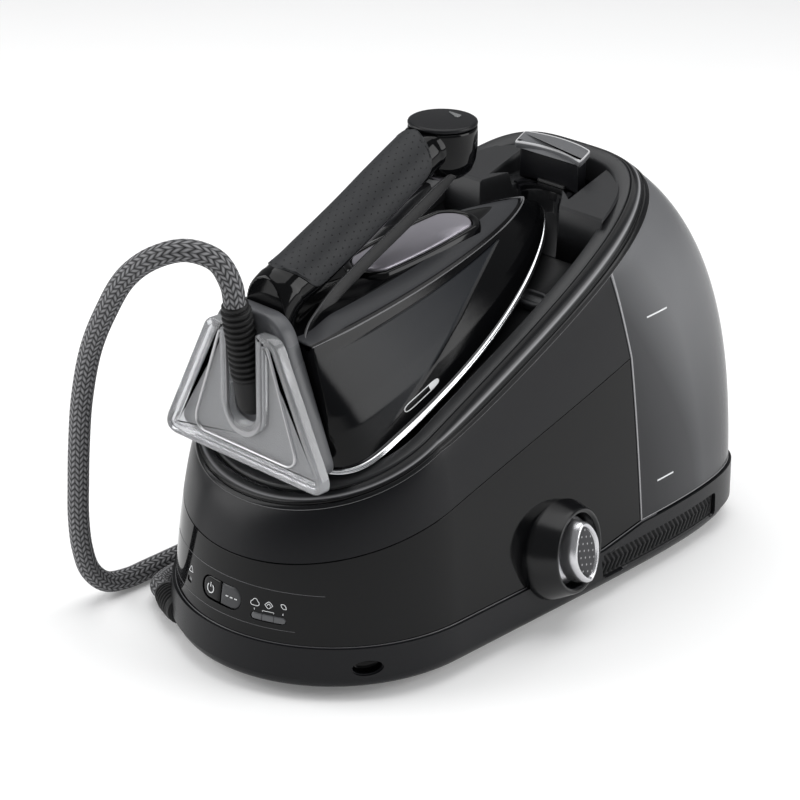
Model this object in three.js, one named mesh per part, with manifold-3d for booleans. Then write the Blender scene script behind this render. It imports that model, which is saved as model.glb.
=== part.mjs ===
// Steam generator iron: a base with boiler, removable water tank and sloping iron rest,
// and an iron joined to it by a steam hose. Millimetres, +Z up, front of the base at -Y.
import * as THREE from 'three';
import { mergeVertices } from 'three/addons/utils/BufferGeometryUtils.js';
import Module from 'manifold-3d';

const wasm = await Module();
wasm.setup();

// ---------------------------------------------------------------- driving dimensions
const gap = 0.3; // left between pieces that touch
const wall = 2.5; // moulded wall of the base
const footHeight = 6;

// plan of the base at the ground: an ellipse in front, a boxy superellipse behind
const baseHalfWidth = 95;
const baseFrontReach = 100;

// the sloping rim round the iron rest
const rimHalfWidth = 79;
const rimCentreY = -6;
const rimFrontReach = 66;
const rimHeight = 149; // height of the rim plane at y = 0
const rimSlope = 0.48; // rise of the rim plane for each millimetre towards the rear
const rimThickness = 4;
const rimBreadth = 11;

// seams of the casing, seen from the side
const lowerSeamHeight = 33;
const upperSeamHeight = 103; // at y = 0
const upperSeamSlope = 0.285;
const tankBottom = 38.5;
const tankFrontLow = 160; // y of the tank's front face at its bottom
const tankFrontKink = 151; // y at the kink
const tankFrontKinkHeight = 146;
const tankFrontLean = 0.235; // lean of the face above the kink

// the iron rests on a slope
const ironTilt = THREE.MathUtils.degToRad(20.8);
const ironHeelY = -70;
const ironHeelZ = 119.4;
const soleHalfWidth = 62;
const soleLength = 254; // from the heel datum to the tip
const soleThickness = 4;
const trayDepth = 9; // from the soleplate down to the tray floor
const deckHalfWidth = 37;
const deckLength = soleLength - 11;
const deckRearHeight = 82.8;
const deckNoseHeight = 18.65;
const lockRoom = 35.6; // from the iron's tip to the rear of the rim
const tankSpread = 80; // from the rear of the rim to the rear of the base
const ironTipY = ironHeelY + soleLength * Math.cos(ironTilt);
const ironTipZ = ironHeelZ + soleLength * Math.sin(ironTilt);
const rimRearReach = ironTipY + lockRoom - rimCentreY;
const baseRearReach = rimCentreY + rimRearReach + tankSpread;
const headRadius = 20;
const headHeight = 17;
const handleRadius = 15.5;
const gripThickness = 2;
const heelHalfBottom = 67;
const heelHalfTop = 26.5;
const heelBottom = 126;
const heelTop = 207;
const heelThickness = 4;

const boilerRadius = 50;
const boilerY = 68;
const boilerBottom = 16;
const boilerHeight = 68;
const boilerWall = 2;

const knobRadius = 25.5; // collar, at its front
const knobFlare = 5.5; // the collar widens by this much towards the wall
const knobHeight = 50;
const knobY = 87;
const knobStandOut = 12;

const hoseRadius = 6.25;
const coilRadius = 66;
const coilX = -184;
const coilY = 158;

// ---------------------------------------------------------------- materials
const finish = (color, roughness, metalness = 0) =>
  new THREE.MeshStandardMaterial({ color, roughness, metalness });
const finishes = {
  gloss: () => finish(0x08090b, 0.12),
  satin: () => finish(0x16181b, 0.45),
  matte: () => finish(0x1c1d20, 0.75),
  grey: () => finish(0x4a4c50, 0.5),
  soft: () => finish(0x34363a, 0.85),
  rubber: () => finish(0x101010, 0.9),
  smoke: () => finish(0x6c6f73, 0.2),
  clear: () => finish(0xb9bcc0, 0.12),
  silver: () => finish(0xb8bac0, 0.3, 0.8),
  steel: () => finish(0x9a9da2, 0.35, 0.9),
  brass: () => finish(0xb08d4a, 0.35, 0.9),
  board: () => finish(0x1d5a34, 0.6),
  white: () => finish(0xd8d8d4, 0.5),
  hose: () => finish(0x77797c, 0.8),
};

// ---------------------------------------------------------------- solids
// a closed three.js geometry as a manifold solid, its shared corners merged
function toSolid(geometry) {
  const bare = new THREE.BufferGeometry();
  bare.setAttribute('position', geometry.getAttribute('position'));
  if (geometry.index) bare.setIndex(geometry.index);
  const merged = mergeVertices(bare, 1e-4);
  const points = merged.getAttribute('position').array;
  const corners = merged.index.array;
  const faces = [];
  for (let i = 0; i < corners.length; i += 3) {
    const [a, b, c] = [corners[i], corners[i + 1], corners[i + 2]];
    if (a !== b && b !== c && c !== a) faces.push(a, b, c);
  }
  let volume = 0;
  const [p, q, r] = [new THREE.Vector3(), new THREE.Vector3(), new THREE.Vector3()];
  for (let i = 0; i < faces.length; i += 3) {
    p.fromArray(points, faces[i] * 3);
    q.fromArray(points, faces[i + 1] * 3);
    r.fromArray(points, faces[i + 2] * 3);
    volume += p.dot(q.cross(r));
  }
  if (volume < 0) faces.reverse();
  return new wasm.Manifold(new wasm.Mesh({
    numProp: 3,
    vertProperties: Float32Array.from(points),
    triVerts: Uint32Array.from(faces),
  }));
}

function toGeometry(body) {
  const mesh = body.getMesh();
  const geometry = new THREE.BufferGeometry();
  geometry.setAttribute('position', new THREE.BufferAttribute(mesh.vertProperties, 3));
  geometry.setIndex(new THREE.BufferAttribute(mesh.triVerts, 1));
  geometry.computeVertexNormals();
  return geometry;
}

// a closed skin through rings of equally many points, with a flat fan on each end
function loft(rings) {
  const count = rings[0].length;
  const points = rings.flat();
  const faces = [];
  for (let k = 0; k + 1 < rings.length; k += 1) {
    for (let i = 0; i < count; i += 1) {
      const j = (i + 1) % count;
      const [a, b] = [k * count + i, k * count + j];
      faces.push(a, b, b + count, a, b + count, a + count);
    }
  }
  const middle = (ring) => ring.reduce((sum, v) => sum.add(v), new THREE.Vector3()).divideScalar(count);
  const first = points.push(middle(rings[0])) - 1;
  const last = points.push(middle(rings[rings.length - 1])) - 1;
  const top = (rings.length - 1) * count;
  for (let i = 0; i < count; i += 1) {
    const j = (i + 1) % count;
    faces.push(first, j, i, last, top + i, top + j);
  }
  const geometry = new THREE.BufferGeometry().setFromPoints(points);
  geometry.setIndex(faces);
  return toSolid(geometry);
}

// a prism across the width, its side outline given as [y, z] corners
function sideZone(corners, halfWidth = 300) {
  const shape = new THREE.Shape(corners.map(([y, z]) => new THREE.Vector2(y, z)));
  const geometry = new THREE.ExtrudeGeometry(shape, { depth: 2 * halfWidth, bevelEnabled: false });
  geometry.translate(0, 0, -halfWidth);
  geometry.applyMatrix4(new THREE.Matrix4().makeBasis(
    new THREE.Vector3(0, 1, 0), new THREE.Vector3(0, 0, 1), new THREE.Vector3(1, 0, 0)));
  return toSolid(geometry);
}

// a box between two corners
function block(low, high) {
  const geometry = new THREE.BoxGeometry(high[0] - low[0], high[1] - low[1], high[2] - low[2]);
  geometry.translate((low[0] + high[0]) / 2, (low[1] + high[1]) / 2, (low[2] + high[2]) / 2);
  return toSolid(geometry);
}

// a body of revolution about +Z, its profile given as [radius, z], moved to a place
function turned(profile, place = [0, 0, 0], sides = 32) {
  const points = profile.map(([r, z]) => new THREE.Vector2(r, z));
  const geometry = new THREE.LatheGeometry(points, sides);
  geometry.rotateX(Math.PI / 2);
  geometry.translate(...place);
  return toSolid(geometry);
}
const disc = (radius, low, high, place, sides) =>
  turned([[0, low], [radius, low], [radius, high], [0, high]], place, sides);
const ring = (inner, outer, low, high, place, sides) =>
  turned([[inner, low], [outer, low], [outer, high], [inner, high], [inner, low]], place, sides);

// a round bar through points; steps is the number of straight lengths
function bar(points, radius, steps, sides = 8) {
  const path = new THREE.CatmullRomCurve3(points.map((p) => new THREE.Vector3(...p)), false, 'centripetal');
  const section = new THREE.Shape();
  for (let i = 0; i < sides; i += 1) {
    const angle = (i / sides) * 2 * Math.PI;
    const [x, y] = [radius * Math.cos(angle), radius * Math.sin(angle)];
    if (i === 0) section.moveTo(x, y);
    else section.lineTo(x, y);
  }
  section.closePath();
  return toSolid(new THREE.ExtrudeGeometry(section, { steps, extrudePath: path, bevelEnabled: false }));
}

// a plate of a rounded outline given as [x, y] corners
function plate(corners, radius, low, high) {
  const shape = new THREE.Shape();
  const count = corners.length;
  const at = (i) => new THREE.Vector2(...corners[(i + count) % count]);
  for (let i = 0; i < count; i += 1) {
    const corner = at(i);
    const before = at(i - 1).sub(corner).setLength(radius).add(corner);
    const after = at(i + 1).sub(corner).setLength(radius).add(corner);
    if (i === 0) shape.moveTo(before.x, before.y);
    else shape.lineTo(before.x, before.y);
    shape.quadraticCurveTo(corner.x, corner.y, after.x, after.y);
  }
  shape.closePath();
  const geometry = new THREE.ExtrudeGeometry(shape,
    { depth: high - low, bevelEnabled: false, curveSegments: 4 });
  geometry.translate(0, 0, low);
  return toSolid(geometry);
}

// ---------------------------------------------------------------- the casing's form
const power = (value, exponent) => Math.sign(value) * Math.abs(value) ** exponent;

// a point of a plan outline: two half superellipses, front and rear, that share a width
function outline(angle, halfWidth, centreY, front, rear, frontPower, rearPower) {
  const [c, s] = [Math.cos(angle), Math.sin(angle)];
  const exponent = 2 / (s < 0 ? frontPower : rearPower);
  const reach = s < 0 ? front : rear;
  return [halfWidth * power(c, exponent), centreY + reach * power(s, exponent)];
}
const groundPoint = (angle, inset) => outline(angle, baseHalfWidth - inset, 0,
  baseFrontReach - inset, baseRearReach - inset, 2, 5.8);
const rimPoint = (angle, inset) => outline(angle, rimHalfWidth - inset, rimCentreY,
  rimFrontReach - inset, rimRearReach - inset, 2.1, 3.8);
const rimPlane = (y) => rimHeight + rimSlope * y;

const casingSides = 44;
const casingRows = [0, 0.25, 0.5, 0.7, 0.84, 0.94, 1];
const angles = Array.from({ length: casingSides }, (_, i) => (i / casingSides) * 2 * Math.PI);

// the casing between the ground and the rim: each wall line leans in from the ground outline
// to the rim outline, slowly at first and fast near the rim; the rear is upright for longer
function casing(inset, low, lower = rimThickness, above = 0) {
  const rings = casingRows.map((t) => angles.map((angle) => {
    const [gx, gy] = groundPoint(angle, inset);
    const [rx, ry] = rimPoint(angle, inset);
    const rear = Math.max(0, Math.sin(angle)) ** 4;
    const lean = 1 - (1 - t ** (1.3 + 2 * rear)) ** (0.46 + 0.44 * rear);
    const top = rimPlane(ry) - lower;
    return new THREE.Vector3(gx + (rx - gx) * lean, gy + (ry - gy) * lean, low + (top - low) * t);
  }));
  if (above > 0) rings.push(rings[rings.length - 1].map((v) => v.clone().setZ(v.z + above)));
  return loft(rings);
}

// a body inside the rim through levels, each an inset from the rim outline and a sloping plane
function rimBody(...levels) {
  return loft(levels.map(([inset, plane]) => angles.map((angle) => {
    const [x, y] = rimPoint(angle, inset);
    return new THREE.Vector3(x, y, plane(y));
  })));
}

const soleSlope = Math.tan(ironTilt);
const solePlane = (y) => ironHeelZ + soleSlope * (y - ironHeelY);
const trayFloor = (y) => solePlane(y) - trayDepth;
const seamPlane = (y) => upperSeamHeight + upperSeamSlope * y;
const tankFrontTop = tankFrontKink - tankFrontLean * (300 - tankFrontKinkHeight);
const far = 400; // past the rear
const ahead = -150; // past the front
const lowerRise = [tankFrontLow - 35, lowerSeamHeight]; // where the lower seam starts to climb

const outer = casing(0, footHeight);
const hollow = casing(wall, footHeight + wall, rimThickness, 30);
const shell = outer.subtract(hollow);

// the knob's axis leans out of the side wall, a little up and to the rear
const knobAxis = new THREE.Vector3(0.975, 0.178, 0.13).normalize();
const knobCentre = new THREE.Vector3(baseHalfWidth, knobY - 1.5, knobHeight - 1);
const knobTurn = new THREE.Quaternion().setFromUnitVectors(new THREE.Vector3(0, 0, 1), knobAxis);
const knobMatrix = new THREE.Matrix4().compose(knobCentre, knobTurn, new THREE.Vector3(1, 1, 1));
const knobOuter = knobRadius + knobFlare;
const onKnobAxis = (body) => body.transform(knobMatrix.toArray());
const knobHole = onKnobAxis(disc(knobOuter + gap, -22, 60));

// the tray under the iron
const trayOutset = wall + 2 * gap;
const trayTop = (y) => rimPlane(y) - rimThickness - gap;
const trayTaper = 8; // the tub's walls close in by this much towards the floor
const aboveRim = (y) => rimPlane(y) + 20;
const trayTub = rimBody([trayOutset + trayTaper, (y) => trayFloor(y) - wall], [trayOutset, trayTop]);
const trayRoom = rimBody([trayOutset + trayTaper + wall, trayFloor], [trayOutset + wall, trayTop],
  [trayOutset + wall, aboveRim]);
const trayKeepOut = (clear) => rimBody(
  [trayOutset + trayTaper - clear, (y) => trayFloor(y) - wall - clear],
  [trayOutset - clear, trayTop], [trayOutset - clear, aboveRim]);

// hose gland in the front left of the lower shell
const glandStart = new THREE.Vector3(-52, -79, 14);
const glandAxis = new THREE.Vector3(-0.92, 0.38, -0.07).normalize();
const glandTurn = new THREE.Quaternion().setFromUnitVectors(new THREE.Vector3(0, 0, 1), glandAxis);
const glandMatrix = new THREE.Matrix4().compose(glandStart, glandTurn, new THREE.Vector3(1, 1, 1));
const glandLength = 27;
const onGlandAxis = (body) => body.transform(glandMatrix.toArray());
const glandRadius = hoseRadius + 2.25;
const glandHole = onGlandAxis(disc(glandRadius + gap, -1, glandLength + 30));

// mains inlet low in the rear wall
const inletX = -40;
const inletRadius = 8;
const inletHeight = 22;
const inletY = baseRearReach;
const alongY = (body, x, y, z) => body.rotate([90, 0, 0]).translate([x, y, z]);
const inletHole = alongY(disc(inletRadius + gap, -8, 20), inletX, inletY, inletHeight);

// ---------------------------------------------------------------- base casing
const lowerZone = sideZone([[ahead, -far], [ahead, lowerSeamHeight], lowerRise,
  [tankFrontLow, tankBottom - gap], [far, tankBottom - gap], [far, -far]]);
const bandZone = sideZone([[ahead, lowerSeamHeight + gap], [lowerRise[0], lowerSeamHeight + gap],
  [tankFrontLow - gap, tankBottom], [tankFrontKink - gap, seamPlane(tankFrontKink)],
  [ahead, seamPlane(ahead)]]);
const coverZone = sideZone([[ahead, seamPlane(ahead) + gap],
  [tankFrontKink - gap, seamPlane(tankFrontKink) + gap],
  [tankFrontTop - gap, 300], [ahead, 300]]);
const tankZone = (inset) => sideZone([[tankFrontLow + inset, tankBottom + inset],
  [tankFrontKink + inset, tankFrontKinkHeight], [tankFrontTop + inset, 300], [far, 300],
  [far, tankBottom + inset]]);

const ventLow = 15;
const ventHigh = 30;
const ventFront = 124;
const ventRear = 232;
const ventHole = (side) => block([side > 0 ? 60 : -120, ventFront, ventLow],
  [side > 0 ? 120 : -60, ventRear, ventHigh]);
const screwSpots = [[-58, -20], [58, -20], [-70, 215], [70, 215]];
const footRadius = 9;

function bottomShell() {
  let body = shell.intersect(lowerZone).subtract(knobHole).subtract(glandHole).subtract(inletHole);
  for (const side of [-1, 1]) body = body.subtract(ventHole(side));
  return body;
}

// buttons and lights in the front of the gloss band
const panelHeight = 52;
const pillHalfLength = 15.5;
const pillHalfHeight = 6.5;
const buttonGap = 0.4;
function pillZone(low, high, extra, depth = [-120, -70]) {
  const [a, b, h] = [low - extra, high + extra, pillHalfHeight + extra];
  const corners = [[a, -h], [b, -h], [b, h], [a, h]];
  const body = plate(corners, h * 0.95, -depth[1], -depth[0]);
  return body.rotate([90, 0, 0]).translate([0, 0, panelHeight]);
}
const lightSpots = [[23, 43, 44.5, 48.5], [-33, -28, 45.5, 49.5]]; // x from, x to, z from, z to
const lightHole = ([x0, x1, z0, z1], extra) => block([x0 - extra, -120, z0 - extra],
  [x1 + extra, -60, z1 + extra]);

function lowerBand() {
  let body = shell.intersect(bandZone).subtract(knobHole);
  body = body.subtract(pillZone(-pillHalfLength, pillHalfLength, buttonGap));
  for (const spot of lightSpots) body = body.subtract(lightHole(spot, gap));
  return body;
}
const buttonFront = casing(-0.8, footHeight);
const buttonBack = casing(wall + 5, footHeight, rimThickness, 30);
function button(low, high) {
  return pillZone(low, high, 0).intersect(buttonFront.subtract(buttonBack));
}
function lightWindow(spot) {
  return lightHole(spot, 0).intersect(casing(-0.2, footHeight).subtract(buttonBack));
}

function upperCover() {
  return shell.intersect(coverZone).subtract(knobHole);
}

function rimTrim() {
  const body = rimBody([0.5, (y) => rimPlane(y) - rimThickness + gap], [2, rimPlane]);
  return body.subtract(rimBody([rimBreadth, (y) => rimPlane(y) - 30], [rimBreadth, aboveRim]));
}

// ---------------------------------------------------------------- iron rest and lock
const shelfFront = ironTipY - 19.4;
const shelfTop = (y) => ironTipZ + 16.4 + 0.3 * (y - shelfFront);
const noseHalf = 26; // room left for the iron's nose in the shelf
const noseRoom = block([-noseHalf, shelfFront - 20, 100], [noseHalf, ironTipY + 12.6, far]);
const leverHalf = 26;
const clawHalf = 16;
const lockTravel = 8;
const leverRear = ironTipY + 18.6;
const leverRoom = block([-leverHalf - 4, leverRear - lockTravel - 12, ironTipZ + 12.4],
  [leverHalf + 4, leverRear + 10, far]);

function lockHousing() {
  const inset = trayOutset + trayTaper + wall + gap;
  const inside = rimBody([inset, (y) => trayFloor(y) + gap], [inset, shelfTop]);
  const zone = sideZone([[shelfFront, 100], [far, 100], [far, far], [shelfFront, far]]);
  const clawSlot = block([-clawHalf - 3, 140, ironTipZ + 9.4], [clawHalf + 3, leverRear + 4, far]);
  return inside.intersect(zone).subtract(noseRoom).subtract(leverRoom).subtract(clawSlot);
}
// a bar bent like the rear of the rim, for the fingers, on a stalk up from the claw
const leverBend = 70;
const leverBreadth = 9;
const leverLow = ironTipZ + 33.4;
const leverThickness = 6;
function lockLever() {
  const fingerBar = ring(leverBend - leverBreadth, leverBend, leverLow, leverLow + leverThickness,
    [0, leverRear - leverBend, 0], 64).intersect(block([-leverHalf, leverRear - 30, leverLow - 1],
    [leverHalf, leverRear + 10, leverLow + leverThickness + 1]));
  const stalk = block([-12, leverRear - 7, ironTipZ + 15.4], [12, leverRear - 2, leverLow + 2]);
  return fingerBar.add(stalk);
}
function lockClaw() {
  const deck = block([-clawHalf, leverRear - 11, ironTipZ + 10.3],
    [clawHalf, leverRear, ironTipZ + 15.1]);
  const prongs = [-1, 1].map((side) => block(
    [side > 0 ? clawHalf - 4 : -clawHalf, leverRear - 13.4, ironTipZ + 3.4],
    [side > 0 ? clawHalf : 4 - clawHalf, leverRear - 8, ironTipZ + 12.4]));
  return prongs.reduce((sum, prong) => sum.add(prong), deck);
}

function restPad(side) {
  const y = 112;
  const inner = trayFloor(y) + 0.6;
  const body = plate([[-9, -6], [9, -6], [9, 6], [-9, 6]], 5.5, 0, 5)
    .subtract(plate([[-6, -3], [12, -3], [12, 3], [-6, 3]], 2.8, -1, 6));
  return body.rotate([0, 0, side > 0 ? 180 : 0]).rotate([THREE.MathUtils.radToDeg(ironTilt), 0, 0])
    .translate([side * 44, y, inner]);
}

// ---------------------------------------------------------------- water tank
const tankTopClear = 1;
const lidFront = rimCentreY + rimRearReach + 16;
const lidRear = lidFront + 33;
const lidHalf = 27;
const outletX = 30;
const outletHeight = 52;
const outletRadius = 9;

const tankHollow = casing(wall, footHeight, rimThickness + wall)
  .intersect(tankZone(wall)).subtract(trayKeepOut(tankTopClear + wall));

function waterTank() {
  const form = outer.intersect(tankZone(0)).subtract(trayKeepOut(tankTopClear));
  const filler = block([-lidHalf - 0.5, lidFront - 3, 150], [lidHalf + 0.5, lidRear + 0.5, 300]);
  const outlet = alongY(disc(outletRadius, -20, 20), outletX, tankFrontLow, outletHeight);
  return form.subtract(tankHollow).subtract(filler).subtract(outlet);
}
function tankLid() {
  const skin = casing(0, footHeight).subtract(casing(2, footHeight));
  return skin.intersect(block([-lidHalf, lidFront, 150], [lidHalf, lidRear, 300]));
}
// a spigot in the tank's front wall that plugs into the dock
function tankOutlet() {
  const flange = outletRadius - gap;
  const body = turned([[4, -8], [flange, -8], [flange, 4], [7, 4], [7, 14], [4, 14], [4, -8]]);
  return alongY(body, outletX, tankFrontLow + 1, outletHeight);
}

// ---------------------------------------------------------------- inside the base
const bayFace = tankFrontLow - 6;
function tankBay() {
  const panel = casing(wall + 1, footHeight + wall + gap).intersect(
    sideZone([[bayFace - 3, 0], [bayFace, 0], [bayFace - 5, tankFrontKinkHeight],
      [bayFace - 8, tankFrontKinkHeight]]));
  return panel.subtract(alongY(disc(11, -20, 20), outletX, bayFace, outletHeight)).subtract(knobHole);
}
function dockSeal() {
  return alongY(ring(7 + gap, 10.7, -2, 6), outletX, bayFace - 1, outletHeight);
}
function boilerHalf(upper) {
  const middle = boilerBottom + boilerHeight / 2;
  const [r, w, h] = [boilerRadius, boilerWall, boilerHeight / 2 - gap / 2];
  const profile = [[0, h], [r * 0.55, h - 1], [r - 8, h - 5], [r, h - 16], [r, 3], [r + 5, 3], [r + 5, 0],
    [r - w, 0], [r - w, h - 16.6], [r - 9, h - 5 - w], [r * 0.52, h - 1 - w], [0, h - w]];
  const half = turned(profile, [0, 0, 0], 24).rotate([upper ? 0 : 180, 0, 0]);
  return half.translate([0, boilerY, middle + (upper ? gap / 2 : -gap / 2)]);
}
function boilerHeater() {
  return ring(26, 34, boilerBottom - 5.5, boilerBottom + 0.1, [0, boilerY, 0], 28);
}
function steamSolenoid() {
  const z = boilerBottom + boilerHeight + 0.5;
  return disc(9, z, z + 9, [0, boilerY, 0], 20).add(block([-12, boilerY - 10, z + 9],
    [12, boilerY + 10, z + 32]));
}
function boilerThermostat() {
  const z = boilerBottom + boilerHeight - 1.2;
  return disc(8, z + 1.5, z + 9, [26, boilerY, 0], 18);
}
function waterPump() {
  const [x, y] = [-63, 121];
  return alongY(disc(14, -24, 24, [0, 0, 0], 20), x, y, 30)
    .add(block([x - 12, y - 8, footHeight + wall + gap], [x + 12, y + 8, 24]));
}
const drainInner = -34;
function drainPipe() {
  return onKnobAxis(ring(7 + gap, 10, drainInner, -9, [0, 0, 0], 24));
}
function drainSeal() {
  return onKnobAxis(ring(7 + gap, 9.5, -8.7, -6.7, [0, 0, 0], 24));
}
function mainBoard() {
  return block([-46, -58, 24], [46, -56.2, 82]).add(block([-30, -56.3, 40], [0, -40, 66]))
    .add(block([10, -56.3, 34], [30, -48, 50]));
}

// ---------------------------------------------------------------- drain knob
function knobCollar() {
  const profile = [[knobOuter, -20], [knobOuter, -3], [knobRadius, knobStandOut],
    [knobRadius - 3, knobStandOut],
    [knobRadius - 4, 0], [10, 0], [10, -3], [knobOuter - 4, -3], [knobOuter - 4, -20], [knobOuter, -20]];
  const cup = onKnobAxis(turned(profile, [0, 0, 0], 32));
  return cup.intersect(casing(-40, footHeight + 1, rimThickness, 40));
}
const gripLength = 40;
const gripWidth = 19;
function drainKnob() {
  const dish = disc(knobRadius - 5, 0.4, 4, [0, 0, 0], 36);
  const corners = [[-gripLength / 2, 0], [0, -gripWidth / 2], [gripLength / 2, 0], [0, gripWidth / 2]];
  const grip = plate(corners, 7, 3.9, knobStandOut + 6)
    .subtract(plate(corners.map(([x, y]) => [x * 0.72, y * 0.72]), 4, knobStandOut + 4.5,
      knobStandOut + 9));
  return onKnobAxis(dish.add(grip));
}
function knobInlay() {
  const corners = [[-gripLength / 2, 0], [0, -gripWidth / 2], [gripLength / 2, 0], [0, gripWidth / 2]];
  return onKnobAxis(plate(corners.map(([x, y]) => [x * 0.66, y * 0.66]), 3.6, knobStandOut + 4.8,
    knobStandOut + 6.3));
}
function drainPlug() {
  return onKnobAxis(disc(7, -30, 0.1, [0, 0, 0], 24));
}

// ---------------------------------------------------------------- the iron, in its own frame
// x across, y along the soleplate from the heel, z up from the sole
const halfOutline = (s, half, start, middle, tip, rearPower) => {
  if (s <= middle) {
    const t = (middle - s) / (middle - start);
    return half * Math.max(0, 1 - t ** rearPower) ** (1 / rearPower);
  }
  const t = (s - middle) / (tip - middle);
  return half * Math.max(0, 1 - t ** 2.1) ** 0.72;
};
// the boat outline as a ring of points: right side from the rear to the tip, then the left side
function boat(half, start, middle, tip, height, rearPower = 4, count = 16) {
  const stations = Array.from({ length: count + 1 }, (_, i) => {
    const t = (1 - Math.cos((i / count) * Math.PI)) / 2;
    return start + (tip - start) * t;
  });
  const right = stations.map((s) => [halfOutline(s, half, start, middle, tip, rearPower), s]);
  const left = right.slice(1, -1).reverse().map(([x, s]) => [-x, s]);
  return [...right, ...left].map(([x, s]) => new THREE.Vector3(x, s, height(s)));
}
const flat = (h) => () => h;
const deckFall = (deckRearHeight - deckNoseHeight) / deckLength;
const deckPlane = (s) => deckRearHeight - deckFall * s;

function soleplate() {
  return loft([boat(soleHalfWidth - 3, 19, 62, soleLength - 3, flat(0)),
    boat(soleHalfWidth, 16, 60, soleLength, flat(1.6)),
    boat(soleHalfWidth, 16, 60, soleLength, flat(soleThickness))]);
}
function steamChamber() {
  const half = soleHalfWidth - 16;
  return loft([boat(half, 36, 70, soleLength - 34, flat(soleThickness + gap)),
    boat(half - 3, 38, 70, soleLength - 38, flat(17))]);
}
const skirtRows = [[0, 0], [0.3, 0.14], [0.6, 0.5], [1, 1]];
function skirtForm(inset, low, drop = 0) {
  return loft(skirtRows.map(([t, lean]) => {
    const bottom = boat(soleHalfWidth - 1 - inset, 16 + inset, 60, soleLength + 1 - inset * 1.6,
      flat(low));
    const top = boat(deckHalfWidth - inset, 20 + inset, 62, deckLength - inset * 1.6,
      (s) => deckPlane(s) - drop);
    return bottom.map((v, i) => new THREE.Vector3(v.x + (top[i].x - v.x) * lean,
      v.y + (top[i].y - v.y) * lean, v.z + (top[i].z - v.z) * t));
  }));
}
const deckThickness = 3;
const handlePath = [[40, 72], [52, 84], [78, 86.5], [120, 90], [150, 93.5], [178, 96], [196, 96]];
function handleRings(radius, from = 0, to = 1, rows = 14) {
  const path = new THREE.CatmullRomCurve3(handlePath.map(([s, h]) => new THREE.Vector3(0, s, h)));
  return Array.from({ length: rows + 1 }, (_, i) => {
    const t = from + ((to - from) * i) / rows;
    const centre = path.getPointAt(t);
    const along = path.getTangentAt(t);
    const up = new THREE.Vector3(0, -along.z, along.y);
    return Array.from({ length: 12 }, (_, k) => {
      const angle = (k / 12) * 2 * Math.PI;
      const point = centre.clone().addScaledVector(up, radius * Math.sin(angle));
      return point.setX(radius * 0.98 * Math.cos(angle));
    });
  });
}
const handleTube = (radius, from, to, rows) => loft(handleRings(radius, from, to, rows));
const gripFrom = 0.26;
const gripTo = 0.86;
const intoIron = new THREE.Matrix4().compose(new THREE.Vector3(0, ironHeelY, ironHeelZ),
  new THREE.Quaternion().setFromAxisAngle(new THREE.Vector3(1, 0, 0), ironTilt),
    new THREE.Vector3(1, 1, 1)).invert();
const toIron = (body) => body.transform(intoIron.toArray()); // from the base's frame to the iron's

const headY = 81;
const headTop = 288;
const capThickness = 2.6;
const headLow = headTop - capThickness - gap - headHeight;
const headRoom = toIron(disc(headRadius + gap, headLow - 20, headTop + 30, [0, headY, 0], 28));

const triggerFrom = 132;
const triggerTo = 174;
const triggerLow = 72.5;
const triggerRoom = block([-9, triggerFrom - 1.5, 60], [9, triggerTo + 2, 90]);

function ironSkirt() {
  const inner = skirtForm(wall, -1, deckThickness - 1);
  const foot = block([-100, -50, -50], [100, 300, soleThickness + gap]);
  return skirtForm(0, soleThickness + gap, deckThickness + gap)
    .subtract(inner).subtract(foot).subtract(heelRoom());
}
function ironDeck() {
  const outline = (height) => boat(deckHalfWidth - 0.5, 20.5, 62, deckLength - 0.6, height);
  const slab = loft([outline((s) => deckPlane(s) - deckThickness), outline(deckPlane)]);
  return slab.subtract(handleTube(handleRadius + gap, 0, 0.3, 6)).subtract(heelRoom());
}
function deckPlate() {
  const oval = [[-13, -41], [13, -41], [13, 41], [-13, 41]];
  const tilt = -THREE.MathUtils.radToDeg(Math.atan(deckFall));
  return plate(oval, 12.5, gap, 2.4).rotate([tilt, 0, 0]).translate([0, 153, deckPlane(153)]);
}
function handleCore() {
  return handleTube(handleRadius, 0.02, 1, 14)
    .subtract(handleTube(handleRadius + 1, gripFrom, gripTo, 8)
      .subtract(handleTube(handleRadius - gripThickness - gap, gripFrom - 0.01, gripTo + 0.01, 8))
      .intersect(gripZone(0)))
    .subtract(headRoom).subtract(triggerRoom).subtract(heelRoom())
    .subtract(loft([boat(60, -30, 62, 300, flat(-60)), boat(60, -30, 62, 300, (s) => deckPlane(s) - 14)]));
}
// the grip covers the back and sides of the handle, down to a line below its middle
const gripZone = (inset) => {
  const line = (s) => 86 + (s - 78) * 0.085 - 6 + inset;
  return loft([boat(40, 0, 62, 260, line), boat(40, 0, 62, 260, (s) => line(s) + 60)]);
};
function handleGrip() {
  return handleTube(handleRadius, gripFrom + 0.004, gripTo - 0.004, 8)
    .subtract(handleTube(handleRadius - gripThickness, gripFrom - 0.01, gripTo + 0.01, 8))
    .intersect(gripZone(gap));
}
function handleHead() {
  const shellBody = turned([[0, headLow], [headRadius - 3, headLow], [headRadius, headLow + 3],
    [headRadius, headTop - capThickness - gap], [0, headTop - capThickness - gap]], [0, headY, 0], 28);
  return toIron(shellBody.subtract(disc(headRadius - 2.5, headLow + 2.5, headTop, [0, headY, 0], 24)));
}
function headCap() {
  const z = headTop - capThickness;
  const body = turned([[0, z], [headRadius - 0.4, z], [headRadius - 0.4, headTop - 0.8],
    [headRadius - 1.2, headTop], [0, headTop]], [0, headY, 0], 28);
  return toIron(body.subtract(block([-5, headY + 6, headTop - 1.2], [5, headY + 11, headTop + 5])));
}
function headLight() {
  return toIron(block([-4.7, headY + 6.3, headTop - 0.9], [4.7, headY + 10.7, headTop - 0.1]));
}
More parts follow.
